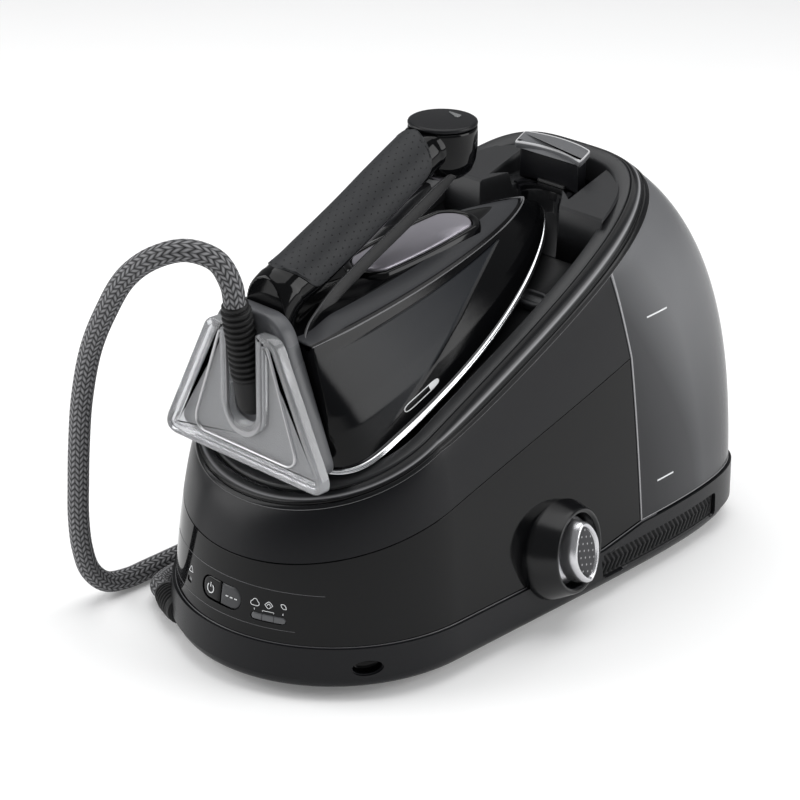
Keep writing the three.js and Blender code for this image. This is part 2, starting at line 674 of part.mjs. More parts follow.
function steamTrigger() {
  const side = new THREE.Shape();
  side.moveTo(triggerFrom, 78.5);
  side.quadraticCurveTo((triggerFrom + triggerTo) / 2, triggerLow - 2, triggerTo - 2, triggerLow + 2.5);
  side.lineTo(triggerTo, triggerLow + 8);
  side.lineTo(triggerFrom + 4, 83.5);
  side.lineTo(triggerFrom, 82.5);
  side.closePath();
  const geometry = new THREE.ExtrudeGeometry(side, { depth: 16, bevelEnabled: false, curveSegments: 8 });
  geometry.translate(0, 0, -8);
  geometry.applyMatrix4(new THREE.Matrix4().makeBasis(
    new THREE.Vector3(0, 1, 0), new THREE.Vector3(0, 0, 1), new THREE.Vector3(1, 0, 0)));
  return toSolid(geometry);
}
function triggerSwitch() {
  return block([-4, 150, 85.6], [4, 163, 89.6]);
}

// the heel stands upright in the base's frame
const bootLow = new THREE.Vector3(0, -67, 157);
const bootHigh = new THREE.Vector3(0, -80, 222);
const bootAxis = bootHigh.clone().sub(bootLow).normalize();
const bootMatrix = new THREE.Matrix4().compose(bootLow,
  new THREE.Quaternion().setFromUnitVectors(new THREE.Vector3(0, 0, 1), bootAxis),
    new THREE.Vector3(1, 1, 1));
const bootLength = bootHigh.distanceTo(bootLow);
const bootRoom = (extra) => disc(9 + extra, -extra, bootLength + 30, [0, 0, 0],
  24).transform(bootMatrix.toArray());
const heelOutline = (grow, top) => {
  const slope = (heelHalfBottom - heelHalfTop) / (heelTop - heelBottom);
  const halfAt = (z) => heelHalfBottom - slope * (z - heelBottom) + grow;
  return [[-halfAt(heelBottom), heelBottom - grow], [halfAt(heelBottom), heelBottom - grow],
    [halfAt(top), top + grow], [-halfAt(top), top + grow]];
};
function upright(corners, radius, front, rear) {
  return plate(corners, radius, -rear, -front).rotate([90, 0, 0]);
}
const heelRoom = () => toIron(block([-150, -300, 0], [150, ironHeelY + 12 + gap, 400]));
function heelPlate() {
  const front = ironHeelY - heelThickness;
  const rimEdge = upright(heelOutline(0, heelTop), 12, front - 3, front)
    .subtract(upright(heelOutline(-6, heelTop), 9, front - 4, front + 1));
  const slot = block([-12, front - 6, 150], [12, ironHeelY + 1, 300]);
  const body = upright(heelOutline(0, heelTop), 12, front - 0.01, ironHeelY).add(rimEdge);
  return toIron(body.subtract(slot));
}
function heelFrame() {
  const body = upright([[-58, 131], [58, 131], [20, 232], [-20, 232]], 9, ironHeelY + gap, ironHeelY + 12);
  return toIron(body.subtract(bootRoom(0.8)));
}
function hoseBoot() {
  const body = turned([[0, 0], [8, 0], [9, 3], [9, 20], [8, bootLength], [0, bootLength]], [0, 0, 0], 24);
  return toIron(body.transform(bootMatrix.toArray()));
}
function ironSteamTube() {
  return bar([[0, 50, 38], [0, 70, 40], [0, 86, 34], [0, 92, 25], [0, 92, soleThickness + 14]], 4, 10);
}

// ---------------------------------------------------------------- steam hose
const hoseStart = bootHigh.clone().addScaledVector(bootAxis, gap);
const lying = hoseRadius + gap; // height of the hose's middle where it lies on the surface
const coilEntry = coilX + coilRadius;
const hoseToIron = [hoseStart.toArray(), [0, -82.4, 234], [-3, -90, 249], [-12, -103, 256],
  [-26, -113, 251],
  [-44, -118, 236], [-62, -119, 210], [-77, -118, 183], [-89, -116, 149], [-97, -113, 118],
  [-103, -110, 90], [-108, -107, 65], [-112, -102, 41], [-115, -94, 22], [-115.5, -82, 10],
  [-115, -66, lying], [-115, -50, lying]];
const hoseAlongTable = [[-115, -50 + gap, lying], [-116, -10, lying], [-117, 30, lying],
  [coilEntry, 70, lying], [coilEntry, coilY - 42, lying]];
const glandEnd = glandStart.clone().addScaledVector(glandAxis, glandLength + gap);
const crossing = lying + 2 * hoseRadius + gap; // height where it passes over the other strand
const hoseToBase = [glandEnd.toArray(), glandEnd.clone().addScaledVector(glandAxis, 10).toArray(),
  [-95.5, -52, 8.2], [-100.5, -32, lying], [-102, -8, lying], [-102.5, 8, lying + 3], [-106, 24, 14],
  [-114, 42, crossing], [-126, 58, crossing], [-143, 72, crossing], [coilX + 24, coilY - 78, crossing]];

function coil() {
  const [inner, outerR] = [coilRadius - hoseRadius, coilRadius + hoseRadius];
  return ring(inner, outerR, gap, 4 * hoseRadius + gap, [coilX, coilY, 0], 32);
}

// ---------------------------------------------------------------- assembly
const object = new THREE.Group();
const ironGroup = new THREE.Group();
ironGroup.position.set(0, ironHeelY, ironHeelZ);
ironGroup.rotation.x = ironTilt;
object.add(ironGroup);

function add(name, body, material, parent = object) {
  const mesh = new THREE.Mesh(toGeometry(body), material());
  mesh.name = name;
  parent.add(mesh);
  return mesh;
}
const cords = new Set();

add('bottom_shell', bottomShell(), finishes.satin);
add('lower_band', lowerBand(), finishes.gloss);
add('upper_cover', upperCover(), finishes.satin);
add('rim_trim', rimTrim(), finishes.grey);
add('iron_tray', trayTub.subtract(trayRoom), finishes.matte);
add('rest_pad_left', restPad(-1), finishes.rubber);
add('rest_pad_right', restPad(1), finishes.rubber);
add('lock_housing', lockHousing(), finishes.matte);
add('lock_lever', lockLever(), finishes.grey);
add('lock_claw', lockClaw(), finishes.satin);
add('water_tank', waterTank(), finishes.smoke);
add('tank_lid', tankLid(), finishes.smoke);
add('tank_outlet', tankOutlet(), finishes.matte);
add('tank_bay', tankBay(), finishes.matte);
add('dock_seal', dockSeal(), finishes.rubber);
add('boiler_lower', boilerHalf(false), finishes.steel);
add('boiler_upper', boilerHalf(true), finishes.steel);
add('boiler_heater', boilerHeater(), finishes.steel);
add('boiler_thermostat', boilerThermostat(), finishes.white);
add('steam_solenoid', steamSolenoid(), finishes.brass);
add('water_pump', waterPump(), finishes.matte);
add('drain_pipe', drainPipe(), finishes.brass);
add('drain_seal', drainSeal(), finishes.rubber);
add('main_board', mainBoard(), finishes.board);
add('power_button', button(-pillHalfLength, -buttonGap), finishes.gloss);
add('mode_button', button(buttonGap, pillHalfLength), finishes.grey);
add('light_bar', lightWindow(lightSpots[0]), finishes.grey);
add('ready_lens', lightWindow(lightSpots[1]), finishes.smoke);
add('knob_collar', knobCollar(), finishes.gloss);
add('drain_knob', drainKnob(), finishes.silver);
add('knob_inlay', knobInlay(), finishes.grey);
add('drain_plug', drainPlug(), finishes.brass);
const sides = { right: 1, left: -1 };
for (const [name, side] of Object.entries(sides)) {
  const grille = ventHole(side).intersect(shell).intersect(block([-far, ventFront + gap, ventLow + gap],
    [far, ventRear - gap, ventHigh - gap]));
  add(`vent_${name}`, grille, finishes.satin);
}
const corners = ['front_left', 'front_right', 'rear_left', 'rear_right'];
screwSpots.forEach(([x, y], i) => {
  const foot = turned([[0, 0], [footRadius - 1, 0], [footRadius, 1], [footRadius, footHeight - gap],
    [0, footHeight - gap]], [x, y, 0], 16);
  add(`foot_${corners[i]}`, foot, finishes.rubber);
});
const glandBore = hoseRadius - 2.25;
add('hose_gland', onGlandAxis(turned([[glandBore, 0], [glandRadius, 0], [glandRadius, 18],
  [hoseRadius + 0.75, glandLength], [glandBore, glandLength], [glandBore, 0]], [0, 0, 0], 20)),
    finishes.rubber);
add('mains_inlet', alongY(ring(4, inletRadius, -6, 8, [0, 0, 0], 20), inletX, inletY, inletHeight),
  finishes.rubber);

add('soleplate', soleplate(), finishes.silver, ironGroup);
add('steam_chamber', steamChamber(), finishes.steel, ironGroup);
add('iron_skirt', ironSkirt(), finishes.gloss, ironGroup);
add('iron_deck', ironDeck(), finishes.gloss, ironGroup);
add('deck_plate', deckPlate(), finishes.silver, ironGroup);
add('handle_core', handleCore(), finishes.gloss, ironGroup);
add('handle_grip', handleGrip(), finishes.soft, ironGroup);
add('handle_head', handleHead(), finishes.gloss, ironGroup);
add('head_cap', headCap(), finishes.gloss, ironGroup);
add('head_light', headLight(), finishes.grey, ironGroup);
add('steam_trigger', steamTrigger(), finishes.grey, ironGroup);
add('trigger_switch', triggerSwitch(), finishes.matte, ironGroup);
add('heel_plate', heelPlate(), finishes.clear, ironGroup);
add('heel_frame', heelFrame(), finishes.grey, ironGroup);
add('hose_boot', hoseBoot(), finishes.rubber, ironGroup);
add('iron_steam_tube', ironSteamTube(), finishes.white, ironGroup);

cords.add(add('hose_iron_end', bar(hoseToIron, hoseRadius, 34, 8), finishes.hose));
cords.add(add('hose_table_run', bar(hoseAlongTable, hoseRadius, 12, 8), finishes.hose));
cords.add(add('hose_coil', coil(), finishes.hose));
cords.add(add('hose_base_end', bar(hoseToBase, hoseRadius, 14, 8), finishes.hose));

// the origin: the middle of the object's footprint, without the hose, on the standing surface
object.updateMatrixWorld(true);
const bounds = new THREE.Box3();
object.traverse((child) => {
  if (child.isMesh && !cords.has(child)) bounds.expandByObject(child, true);
});
const middle = bounds.getCenter(new THREE.Vector3());
object.position.set(-middle.x, -middle.y, -bounds.min.z);

const root = new THREE.Group();
root.add(object);
export default root;
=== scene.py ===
import math

import bpy
import numpy as np
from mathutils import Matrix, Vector


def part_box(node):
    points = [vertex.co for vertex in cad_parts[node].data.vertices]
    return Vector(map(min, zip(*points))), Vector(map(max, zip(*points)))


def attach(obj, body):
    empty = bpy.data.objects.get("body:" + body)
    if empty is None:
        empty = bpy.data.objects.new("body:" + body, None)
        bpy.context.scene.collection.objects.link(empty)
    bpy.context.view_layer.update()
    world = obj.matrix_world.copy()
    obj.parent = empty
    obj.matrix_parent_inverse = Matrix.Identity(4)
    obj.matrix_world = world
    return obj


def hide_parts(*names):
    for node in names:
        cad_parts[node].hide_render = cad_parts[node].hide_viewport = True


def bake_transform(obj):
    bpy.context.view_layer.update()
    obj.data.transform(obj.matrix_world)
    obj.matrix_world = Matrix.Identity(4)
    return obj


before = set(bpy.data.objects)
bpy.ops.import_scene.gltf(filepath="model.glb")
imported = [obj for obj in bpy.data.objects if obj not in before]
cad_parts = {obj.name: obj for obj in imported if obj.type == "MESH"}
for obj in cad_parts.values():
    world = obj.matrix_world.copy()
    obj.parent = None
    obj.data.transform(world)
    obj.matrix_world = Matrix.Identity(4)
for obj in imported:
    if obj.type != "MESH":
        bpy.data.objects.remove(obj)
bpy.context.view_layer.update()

print("frame loaded:", len(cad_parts), "nodes")

# All shapes are worked out in millimetres in the base's own frame: x across, y to the rear,
# z up from the table, x = 0 in the middle and y = 0 where the base is widest.
base = dict(halfWidth=95, front=100, rear=283, frontPower=2.0, rearPower=5.8, centreY=0, foot=6)
rim = dict(halfWidth=79, front=66, rear=209, frontPower=2.1, rearPower=3.8, centreY=-6,
           height=149, slope=0.48, thickness=4)
lowCorner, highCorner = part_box("bottom_shell")
originX = (lowCorner.x + highCorner.x) / 2
originY = lowCorner.y + base["front"] / 1000


def toFrame(points):
    # millimetres in the base's frame to metres in the row frame
    return np.asarray(points, float) / 1000 + np.array([originX, originY, 0])


def unit(v):
    # each vector over its own length
    return v / np.maximum(np.linalg.norm(v, axis=-1, keepdims=True), 1e-12)


def mix(a, b, t):
    # the point a share t of the way from a to b
    return a + (b - a) * t


def smooth(a, b, x):
    # a soft step from 0 at a to 1 at b: 3t^2 - 2t^3
    t = np.clip((x - a) / (b - a), 0, 1)
    return t * t * (3 - 2 * t)


# ---- camera, floor and light
look = dict(target=(0, 0, 121), azimuth=45.23, elevation=25.17, distance=1566.2, lens=123.5,
            shiftX=0.0741, shiftY=0.0376)
azimuth, elevation = math.radians(look["azimuth"]), math.radians(look["elevation"])
back = Vector((math.sin(azimuth) * math.cos(elevation), -math.cos(azimuth) * math.cos(elevation),
               math.sin(elevation)))
cameraData = bpy.data.cameras.new("camera")
cameraData.lens, cameraData.sensor_width = look["lens"], 36
cameraData.shift_x, cameraData.shift_y = look["shiftX"], look["shiftY"]
cameraData.clip_end = 50
camera = bpy.data.objects.new("camera", cameraData)
bpy.context.scene.collection.objects.link(camera)
camera.location = Vector(toFrame(look["target"])) + back * look["distance"] / 1000
camera.rotation_mode = "QUATERNION"
camera.rotation_quaternion = (-back).to_track_quat("-Z", "Y")
bpy.context.scene.camera = camera

# ---- materials
def material(name, color, roughness, metallic=0.0, coat=0.0, grain=0.0, grainScale=900.0,
             cloudy=0.0, specular=0.3, transmission=0.0):
    # a moulded or metal finish: a fine grain in the bump and slow clouds in colour and roughness
    m = bpy.data.materials.new(name)
    m.use_nodes = True
    nodes, links = m.node_tree.nodes, m.node_tree.links
    shader = nodes["Principled BSDF"]
    shader.inputs["Base Color"].default_value = (*color, 1)
    shader.inputs["Roughness"].default_value = roughness
    shader.inputs["Metallic"].default_value = metallic
    shader.inputs["Coat Weight"].default_value = coat
    shader.inputs["Coat Roughness"].default_value = 0.04
    shader.inputs["Specular IOR Level"].default_value = specular
    shader.inputs["Transmission Weight"].default_value = transmission
    shader.inputs["IOR"].default_value = 1.46
    place = nodes.new("ShaderNodeTexCoord")
    clouds = nodes.new("ShaderNodeTexNoise")
    clouds.inputs["Scale"].default_value = 22
    clouds.inputs["Detail"].default_value = 3
    links.new(place.outputs["Object"], clouds.inputs["Vector"])
    level = nodes.new("ShaderNodeMapRange")
    level.inputs["To Min"].default_value = roughness * (1 - cloudy)
    level.inputs["To Max"].default_value = min(1.0, roughness * (1 + cloudy))
    links.new(clouds.outputs["Fac"], level.inputs["Value"])
    links.new(level.outputs["Result"], shader.inputs["Roughness"])
    shade = nodes.new("ShaderNodeMix")
    shade.data_type = "RGBA"
    shade.inputs["A"].default_value = (*[c * (1 - 0.35 * cloudy) for c in color], 1)
    shade.inputs["B"].default_value = (*[min(1, c * (1 + 0.35 * cloudy)) for c in color], 1)
    links.new(clouds.outputs["Fac"], shade.inputs["Factor"])
    links.new(shade.outputs["Result"], shader.inputs["Base Color"])
    if grain:
        fine = nodes.new("ShaderNodeTexNoise")
        fine.inputs["Scale"].default_value = grainScale
        fine.inputs["Detail"].default_value = 2
        links.new(place.outputs["Object"], fine.inputs["Vector"])
        bump = nodes.new("ShaderNodeBump")
        bump.inputs["Strength"].default_value = grain
        bump.inputs["Distance"].default_value = 0.0003
        links.new(fine.outputs["Fac"], bump.inputs["Height"])
        links.new(bump.outputs["Normal"], shader.inputs["Normal"])
    return m


def addNode(m, kind, **inputs):
    # a node of the material with its named inputs set
    node = m.node_tree.nodes.new(kind)
    for name, value in inputs.items():
        node.inputs[name.replace("_", " ")].default_value = value
    return node


def formula(m, operation, a, b=None):
    # one Math node; a and b are sockets or numbers
    node = m.node_tree.nodes.new("ShaderNodeMath")
    node.operation = operation
    for socket, value in zip(node.inputs, (a, b)):
        if value is None:
            continue
        if isinstance(value, (int, float)):
            socket.default_value = value
        else:
            m.node_tree.links.new(value, socket)
    return node.outputs[0]


def tone(m, factor, low, high, socket):
    # colours the shader's socket from low to high by a factor
    blend = m.node_tree.nodes.new("ShaderNodeMix")
    blend.data_type = "RGBA"
    blend.inputs["A"].default_value = (*low, 1)
    blend.inputs["B"].default_value = (*high, 1)
    m.node_tree.links.new(factor, blend.inputs["Factor"])
    m.node_tree.links.new(blend.outputs["Result"], socket)


glossBlack = material("glossBlack", (0.0025, 0.0026, 0.003), 0.07, cloudy=0.2, specular=0.22)
satinBlack = material("satinBlack", (0.0065, 0.0067, 0.008), 0.32, grain=0.2, grainScale=2600, cloudy=0.12,
                      specular=0.22)
matteBlack = material("matteBlack", (0.008, 0.0082, 0.009), 0.45, grain=0.4, grainScale=2200, cloudy=0.15,
                      specular=0.25)
satinGrey = material("satinGrey", (0.034, 0.035, 0.038), 0.34, grain=0.2, grainScale=2600, cloudy=0.12,
                     specular=0.3)
paleGrey = material("paleGrey", (0.085, 0.087, 0.093), 0.28, grain=0.2, grainScale=2600, cloudy=0.1)
rubberBlack = material("rubberBlack", (0.008, 0.008, 0.0085), 0.55, grain=0.4, grainScale=1500, cloudy=0.2,
                       specular=0.3)
silver = material("silver", (0.62, 0.62, 0.64), 0.24, metallic=0.9, grain=0.15, grainScale=3000, cloudy=0.12)
plateMetal = material("plateMetal", (0.36, 0.345, 0.385), 0.3, metallic=0.55, grain=0.15, cloudy=0.15)
soleSteel = material("soleSteel", (0.72, 0.73, 0.75), 0.16, metallic=1.0, grain=0.1, cloudy=0.25)
boilerSteel = material("boilerSteel", (0.5, 0.5, 0.51), 0.32, metallic=1.0, grain=0.2, cloudy=0.3)
castAlloy = material("castAlloy", (0.45, 0.45, 0.46), 0.5, metallic=0.9, grain=0.7, grainScale=500,
                     cloudy=0.2)
brass = material("brass", (0.6, 0.43, 0.2), 0.3, metallic=1.0, grain=0.15, cloudy=0.25)
board = material("board", (0.02, 0.11, 0.045), 0.45, grain=0.2, cloudy=0.4)
ink = material("ink", (0.72, 0.73, 0.74), 0.4, cloudy=0.08)
clearPlastic = material("clearPlastic", (0.74, 0.75, 0.77), 0.13, transmission=0.8, cloudy=0.1, specular=0.4)
smokePlastic = material("smokePlastic", (0.03, 0.031, 0.034), 0.16, transmission=0.2, cloudy=0.2)
floorPaint = material("floorPaint", (0.9, 0.9, 0.9), 0.8, cloudy=0.02)
floorShader = floorPaint.node_tree.nodes["Principled BSDF"]
floorShader.inputs["Emission Color"].default_value = (1, 1, 1, 1)
floorShader.inputs["Emission Strength"].default_value = 0.12
rimGrey = material("rimGrey", (0.026, 0.0265, 0.028), 0.32, grain=0.2, grainScale=2600, cloudy=0.1,
                   specular=0.3)
tintedGrey = material("tintedGrey", (0.22, 0.225, 0.23), 0.12, transmission=0.3, cloudy=0.15)
edgeSilver = material("edgeSilver", (0.5, 0.5, 0.51), 0.16, metallic=0.6, cloudy=0.1)
channelGrey = material("channelGrey", (0.34, 0.34, 0.35), 0.22, metallic=0.3, cloudy=0.1)


def zoned(name, zones):
    # one finish whose colour and roughness follow the "mark" of each point;
    # zones are (mark, color, roughness)
    m = material(name, zones[0][1], zones[0][2], grain=0.1, grainScale=2600, cloudy=0.15, specular=0.17)
    tree = m.node_tree
    shader = tree.nodes["Principled BSDF"]
    mark = tree.nodes.new("ShaderNodeAttribute")
    mark.attribute_name = "mark"
    for key, socket in (("color", "Base Color"), ("roughness", "Roughness")):
        ramp = tree.nodes.new("ShaderNodeValToRGB")
        ramp.color_ramp.interpolation = "LINEAR"
        while len(ramp.color_ramp.elements) < len(zones):
            ramp.color_ramp.elements.new(0.5)
        for element, (place, color, roughness) in zip(ramp.color_ramp.elements, zones):
            element.position = place
            element.color = (*color, 1) if key == "color" else (roughness, roughness, roughness, 1)
        tree.links.new(mark.outputs["Fac"], ramp.inputs[0])
        tree.links.new(ramp.outputs[0], shader.inputs[socket])
    return m


skirtBlack = zoned("skirtBlack", [(0.0, (0.0025, 0.0026, 0.003), 0.07), (1.0, (0.012, 0.0135, 0.0165), 0.36)])
deckBlack = zoned("deckBlack", [(0.0, (0.0025, 0.0026, 0.003), 0.08), (0.5, (0.034, 0.035, 0.038), 0.36),
                                (1.0, (0.14, 0.14, 0.145), 0.18)])
rimBlack = zoned("rimBlack", [(0.0, (0.0035, 0.0036, 0.004), 0.12), (0.6, (0.02, 0.0205, 0.022), 0.3),
                              (1.0, (0.34, 0.34, 0.35), 0.22)])
stripBlack = zoned("stripBlack", [(0.0, (0.0025, 0.0026, 0.003), 0.1), (0.4, (0.006, 0.0062, 0.007), 0.3),
                                  (1.0, (0.16, 0.16, 0.165), 0.22)])
# the tank's smoke tint; its lighter zones are a painted highlight
tankSmokeAndPaintedSheen = zoned("tankSmokeAndPaintedSheen", [(0.0, (0.012, 0.0125, 0.014), 0.12), (0.35, (0.018, 0.0185, 0.0205), 0.16),
                                (0.7, (0.046, 0.047, 0.05), 0.22), (1.0, (0.14, 0.142, 0.148), 0.26)])
leverGrey = zoned("leverGrey", [(0.0, (0.11, 0.112, 0.118), 0.34), (1.0, (0.5, 0.5, 0.51), 0.2)])
shelfBlack = material("shelfBlack", (0.016, 0.0165, 0.018), 0.42, grain=0.4, grainScale=2200, cloudy=0.12,
                      specular=0.3)
padGrey = material("padGrey", (0.03, 0.031, 0.033), 0.42, grain=0.3, grainScale=1500, cloudy=0.15)
modeGrey = material("modeGrey", (0.045, 0.046, 0.049), 0.3, grain=0.15, cloudy=0.1)
barGrey = material("barGrey", (0.085, 0.087, 0.092), 0.25, coat=0.4, cloudy=0.15)
lineGrey = material("lineGrey", (0.10, 0.10, 0.105), 0.3, cloudy=0.1)
seamLight = material("seamLight", (0.30, 0.30, 0.31), 0.25, metallic=0.4, cloudy=0.1)
collarBlack = material("collarBlack", (0.004, 0.0042, 0.005), 0.22, cloudy=0.2, specular=0.35)


def dotted(name, base, spot, roughness, pitch, size):
    # a skin with round dots in a staggered grid over its uv, pressed in a little
    m = material(name, base, roughness, grain=0.3, grainScale=2200, cloudy=0.25, specular=0.2)
    tree = m.node_tree
    shader = tree.nodes["Principled BSDF"]
    place = tree.nodes.new("ShaderNodeUVMap")
    split = tree.nodes.new("ShaderNodeSeparateXYZ")
    tree.links.new(place.outputs["UV"], split.inputs[0])
    row = formula(m, "DIVIDE", split.outputs[1], pitch[1])
    oddRow = formula(m, "MODULO", formula(m, "ABSOLUTE", formula(m, "FLOOR", row)), 2.0)
    column = formula(m, "ADD", formula(m, "DIVIDE", split.outputs[0], pitch[0]),
                     formula(m, "MULTIPLY", oddRow, 0.5))
    inColumn = formula(m, "FRACT", formula(m, "ADD", column, 200.0))
    a = formula(m, "MULTIPLY", formula(m, "SUBTRACT", inColumn, 0.5), pitch[0])
    b = formula(m, "MULTIPLY", formula(m, "SUBTRACT", formula(m, "FRACT", row), 0.5), pitch[1])
    fromMiddle = formula(m, "SQRT", formula(m, "ADD", formula(m, "MULTIPLY", a, a),
                                            formula(m, "MULTIPLY", b, b)))
    dot = tree.nodes.new("ShaderNodeMapRange")
    dot.inputs["From Min"].default_value, dot.inputs["From Max"].default_value = size * 0.75, size * 1.25
    tree.links.new(fromMiddle, dot.inputs["Value"])
    tone(m, dot.outputs["Result"], spot, base, shader.inputs["Base Color"])
    bump = addNode(m, "ShaderNodeBump", Strength=0.5, Distance=0.0005)
    tree.links.new(dot.outputs["Result"], bump.inputs["Height"])
    tree.links.new(bump.outputs["Normal"], shader.inputs["Normal"])
    return m


gripDots = dotted("gripDots", (0.026, 0.027, 0.029), (0.003, 0.003, 0.0035), 0.5, (4.6, 3.8), 0.42)
inlayDots = dotted("inlayDots", (0.03, 0.03, 0.033), (0.34, 0.34, 0.35), 0.4, (4.6, 4.4), 0.6)


# ---- mesh making
def gridFaces(rows, columns, around=False, start=0):
    # four corners of each cell of a grid; around joins the last column to the first
    r = np.arange(rows - 1)
    c = np.arange(columns if around else columns - 1)
    rr, cc = np.meshgrid(r, c, indexing="ij")
    a = rr * columns + cc
    b = rr * columns + (cc + 1) % columns
    return (np.stack([a, b, b + columns, a + columns], -1).reshape(-1, 4) + start).tolist()


class Shape:
    # points in millimetres and faces, added grid by grid
    def __init__(self):
        self.points, self.faces, self.marks, self.uvs = [], [], [], []
        self.count = 0

    def grid(self, points, around=False, capStart=False, capEnd=False, mark=None, flip=False, uv=None):
        # a grid of points as quads; a cap is a fan to the mean of its row
        points = np.asarray(points, float)
        rows, columns = points.shape[:2]
        faces = gridFaces(rows, columns, around, self.count)
        stack = [points.reshape(-1, 3)]
        values = np.zeros((rows, columns)) if mark is None else np.broadcast_to(mark, (rows, columns))
        marks = [values.reshape(-1)]
        places = np.zeros((rows * columns, 2)) if uv is None else np.asarray(uv, float).reshape(-1, 2)
        uvs = [places]
        extra = self.count + rows * columns
        for wanted, row, turned in ((capStart, 0, True), (capEnd, rows - 1, False)):
            if not wanted:
                continue
            ring = self.count + row * columns + np.arange(columns)
            after = np.roll(ring, -1)
            fan = [[i, j, extra] for i, j in zip(ring.tolist(), after.tolist())]
            if not around:
                fan = fan[:-1]
            faces += [f[::-1] for f in fan] if turned else fan
            stack.append(points[row].mean(0)[None])
            marks.append(np.array([values[row].mean()]))
            uvs.append(places.reshape(rows, columns, 2)[row].mean(0)[None])
            extra += 1
        if flip:
            faces = [f[::-1] for f in faces]
        self.points.append(np.concatenate(stack))
        self.marks.append(np.concatenate(marks))
        self.uvs.append(np.concatenate(uvs))
        self.faces += faces
        self.count = extra
        return self

    def lid(self, loop, turned=False):
        # one flat face over a closed outline
        loop = np.asarray(loop, float)
        ring = list(range(self.count, self.count + len(loop)))
        self.points.append(loop)
        self.marks.append(np.zeros(len(loop)))
        self.uvs.append(np.zeros((len(loop), 2)))
        self.faces.append(ring[::-1] if turned else ring)
        self.count += len(loop)
        return self


def capped(points, mark=None):
    # a wall of rings with a fan to the middle of its first and last ring
    return Shape().grid(points, around=True, capStart=True, capEnd=True, mark=mark)


def slab(rows, mark=None):
    # stacked outlines as a wall, with a flat face over the last and the first
    return Shape().grid(rows, around=True, mark=mark).lid(rows[-1]).lid(rows[0], turned=True)


def build(name, shape, body, look, stands=(), weld=0.0, thick=0.0, bevel=0.0,
          bevelAngle=50, outward=None, uvMap=False):
    # turns a Shape into an object: corners merged, faces turned out, wall and edge radius added
    points = np.concatenate(shape.points)
    faces = shape.faces
    if weld:
        keys = np.round(points / weld).astype(np.int64)
        _, first, inverse = np.unique(keys, axis=0, return_index=True, return_inverse=True)
        inverse = inverse.reshape(-1)
        kept = []
        for f in faces:
            g = list(dict.fromkeys(inverse[f].tolist()))
            if len(g) > 2:
                kept.append(g)
        faces, points = kept, points[first]
        marks = np.concatenate(shape.marks)[first]
        uvs = np.concatenate(shape.uvs)[first]
    else:
        marks, uvs = np.concatenate(shape.marks), np.concatenate(shape.uvs)
    mesh = bpy.data.meshes.new(name)
    mesh.from_pydata(toFrame(points).tolist(), [], faces)
    count = len(mesh.polygons)
    centres, normals, areas = np.zeros(count * 3), np.zeros(count * 3), np.zeros(count)
    mesh.polygons.foreach_get("center", centres)
    mesh.polygons.foreach_get("normal", normals)
    mesh.polygons.foreach_get("area", areas)
    centres, normals = centres.reshape(-1, 3), normals.reshape(-1, 3)
    if outward is None:  # a closed shape: its volume says which way its faces point
        turned = (np.einsum("ij,ij->i", centres - centres.mean(0), normals) * areas).sum() < 0
    else:  # an open shape: its faces point away from this place, or along this direction
        middle = toFrame(outward)
        turned = (np.einsum("ij,ij->i", centres - middle, normals) * areas).sum() < 0
    if turned:
        mesh.flip_normals()
    mesh.polygons.foreach_set("use_smooth", np.ones(count, bool))
    attribute = mesh.attributes.new("mark", "FLOAT", "POINT")
    attribute.data.foreach_set("value", marks.astype(np.float32))
    if uvMap:
        layer = mesh.uv_layers.new(name="UVMap")
        index = np.zeros(len(mesh.loops), np.int32)
        mesh.loops.foreach_get("vertex_index", index)
        layer.data.foreach_set("uv", uvs[index].astype(np.float32).ravel())
    mesh.materials.append(look)
    mesh.validate()
    piece = bpy.data.objects.new(name, mesh)
    bpy.context.scene.collection.objects.link(piece)
    if thick:
        solid = piece.modifiers.new("wall", "SOLIDIFY")
        solid.thickness, solid.offset = thick / 1000, -1
    if bevel:
        edge = piece.modifiers.new("edge", "BEVEL")
        edge.width, edge.segments, edge.limit_method = bevel / 1000, 2, "ANGLE"
        edge.angle_limit, edge.harden_normals = math.radians(bevelAngle), True
        edge.use_clamp_overlap = True
    if body:
        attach(piece, body)
    if stands:
        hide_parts(*stands)
    return piece


def turnedShape(profile, sides=64, centre=(0, 0, 0), axis=(0, 0, 1), upward=(0, 1, 0)):
    # a profile of (radius, height) carried round an axis through centre
    profile = np.asarray(profile, float)
    w = unit(np.asarray(axis, float))
    u = unit(np.cross(upward, w))
    v = np.cross(w, u)
    angle = np.linspace(0, 2 * np.pi, sides, endpoint=False)
    ringDirection = np.cos(angle)[:, None] * u + np.sin(angle)[:, None] * v
    points = centre + profile[:, 0][:, None, None] * ringDirection + profile[:, 1][:, None, None] * w
    return capped(points)


def rounded(profile, radius, steps=4):
    # an open profile with each inner corner replaced by a quadratic arc of about this radius
    profile = [np.asarray(p, float) for p in profile]
    out = [profile[0]]
    for a, b, c in zip(profile, profile[1:], profile[2:]):
        r = min(radius, np.linalg.norm(a - b) * 0.45, np.linalg.norm(c - b) * 0.45)
        start, end = b + unit(a - b) * r, b + unit(c - b) * r
        t = np.linspace(0, 1, steps + 1)[:, None]
        out += list((1 - t) ** 2 * start + 2 * t * (1 - t) * b + t ** 2 * end)
    out.append(profile[-1])
    return np.array(out)


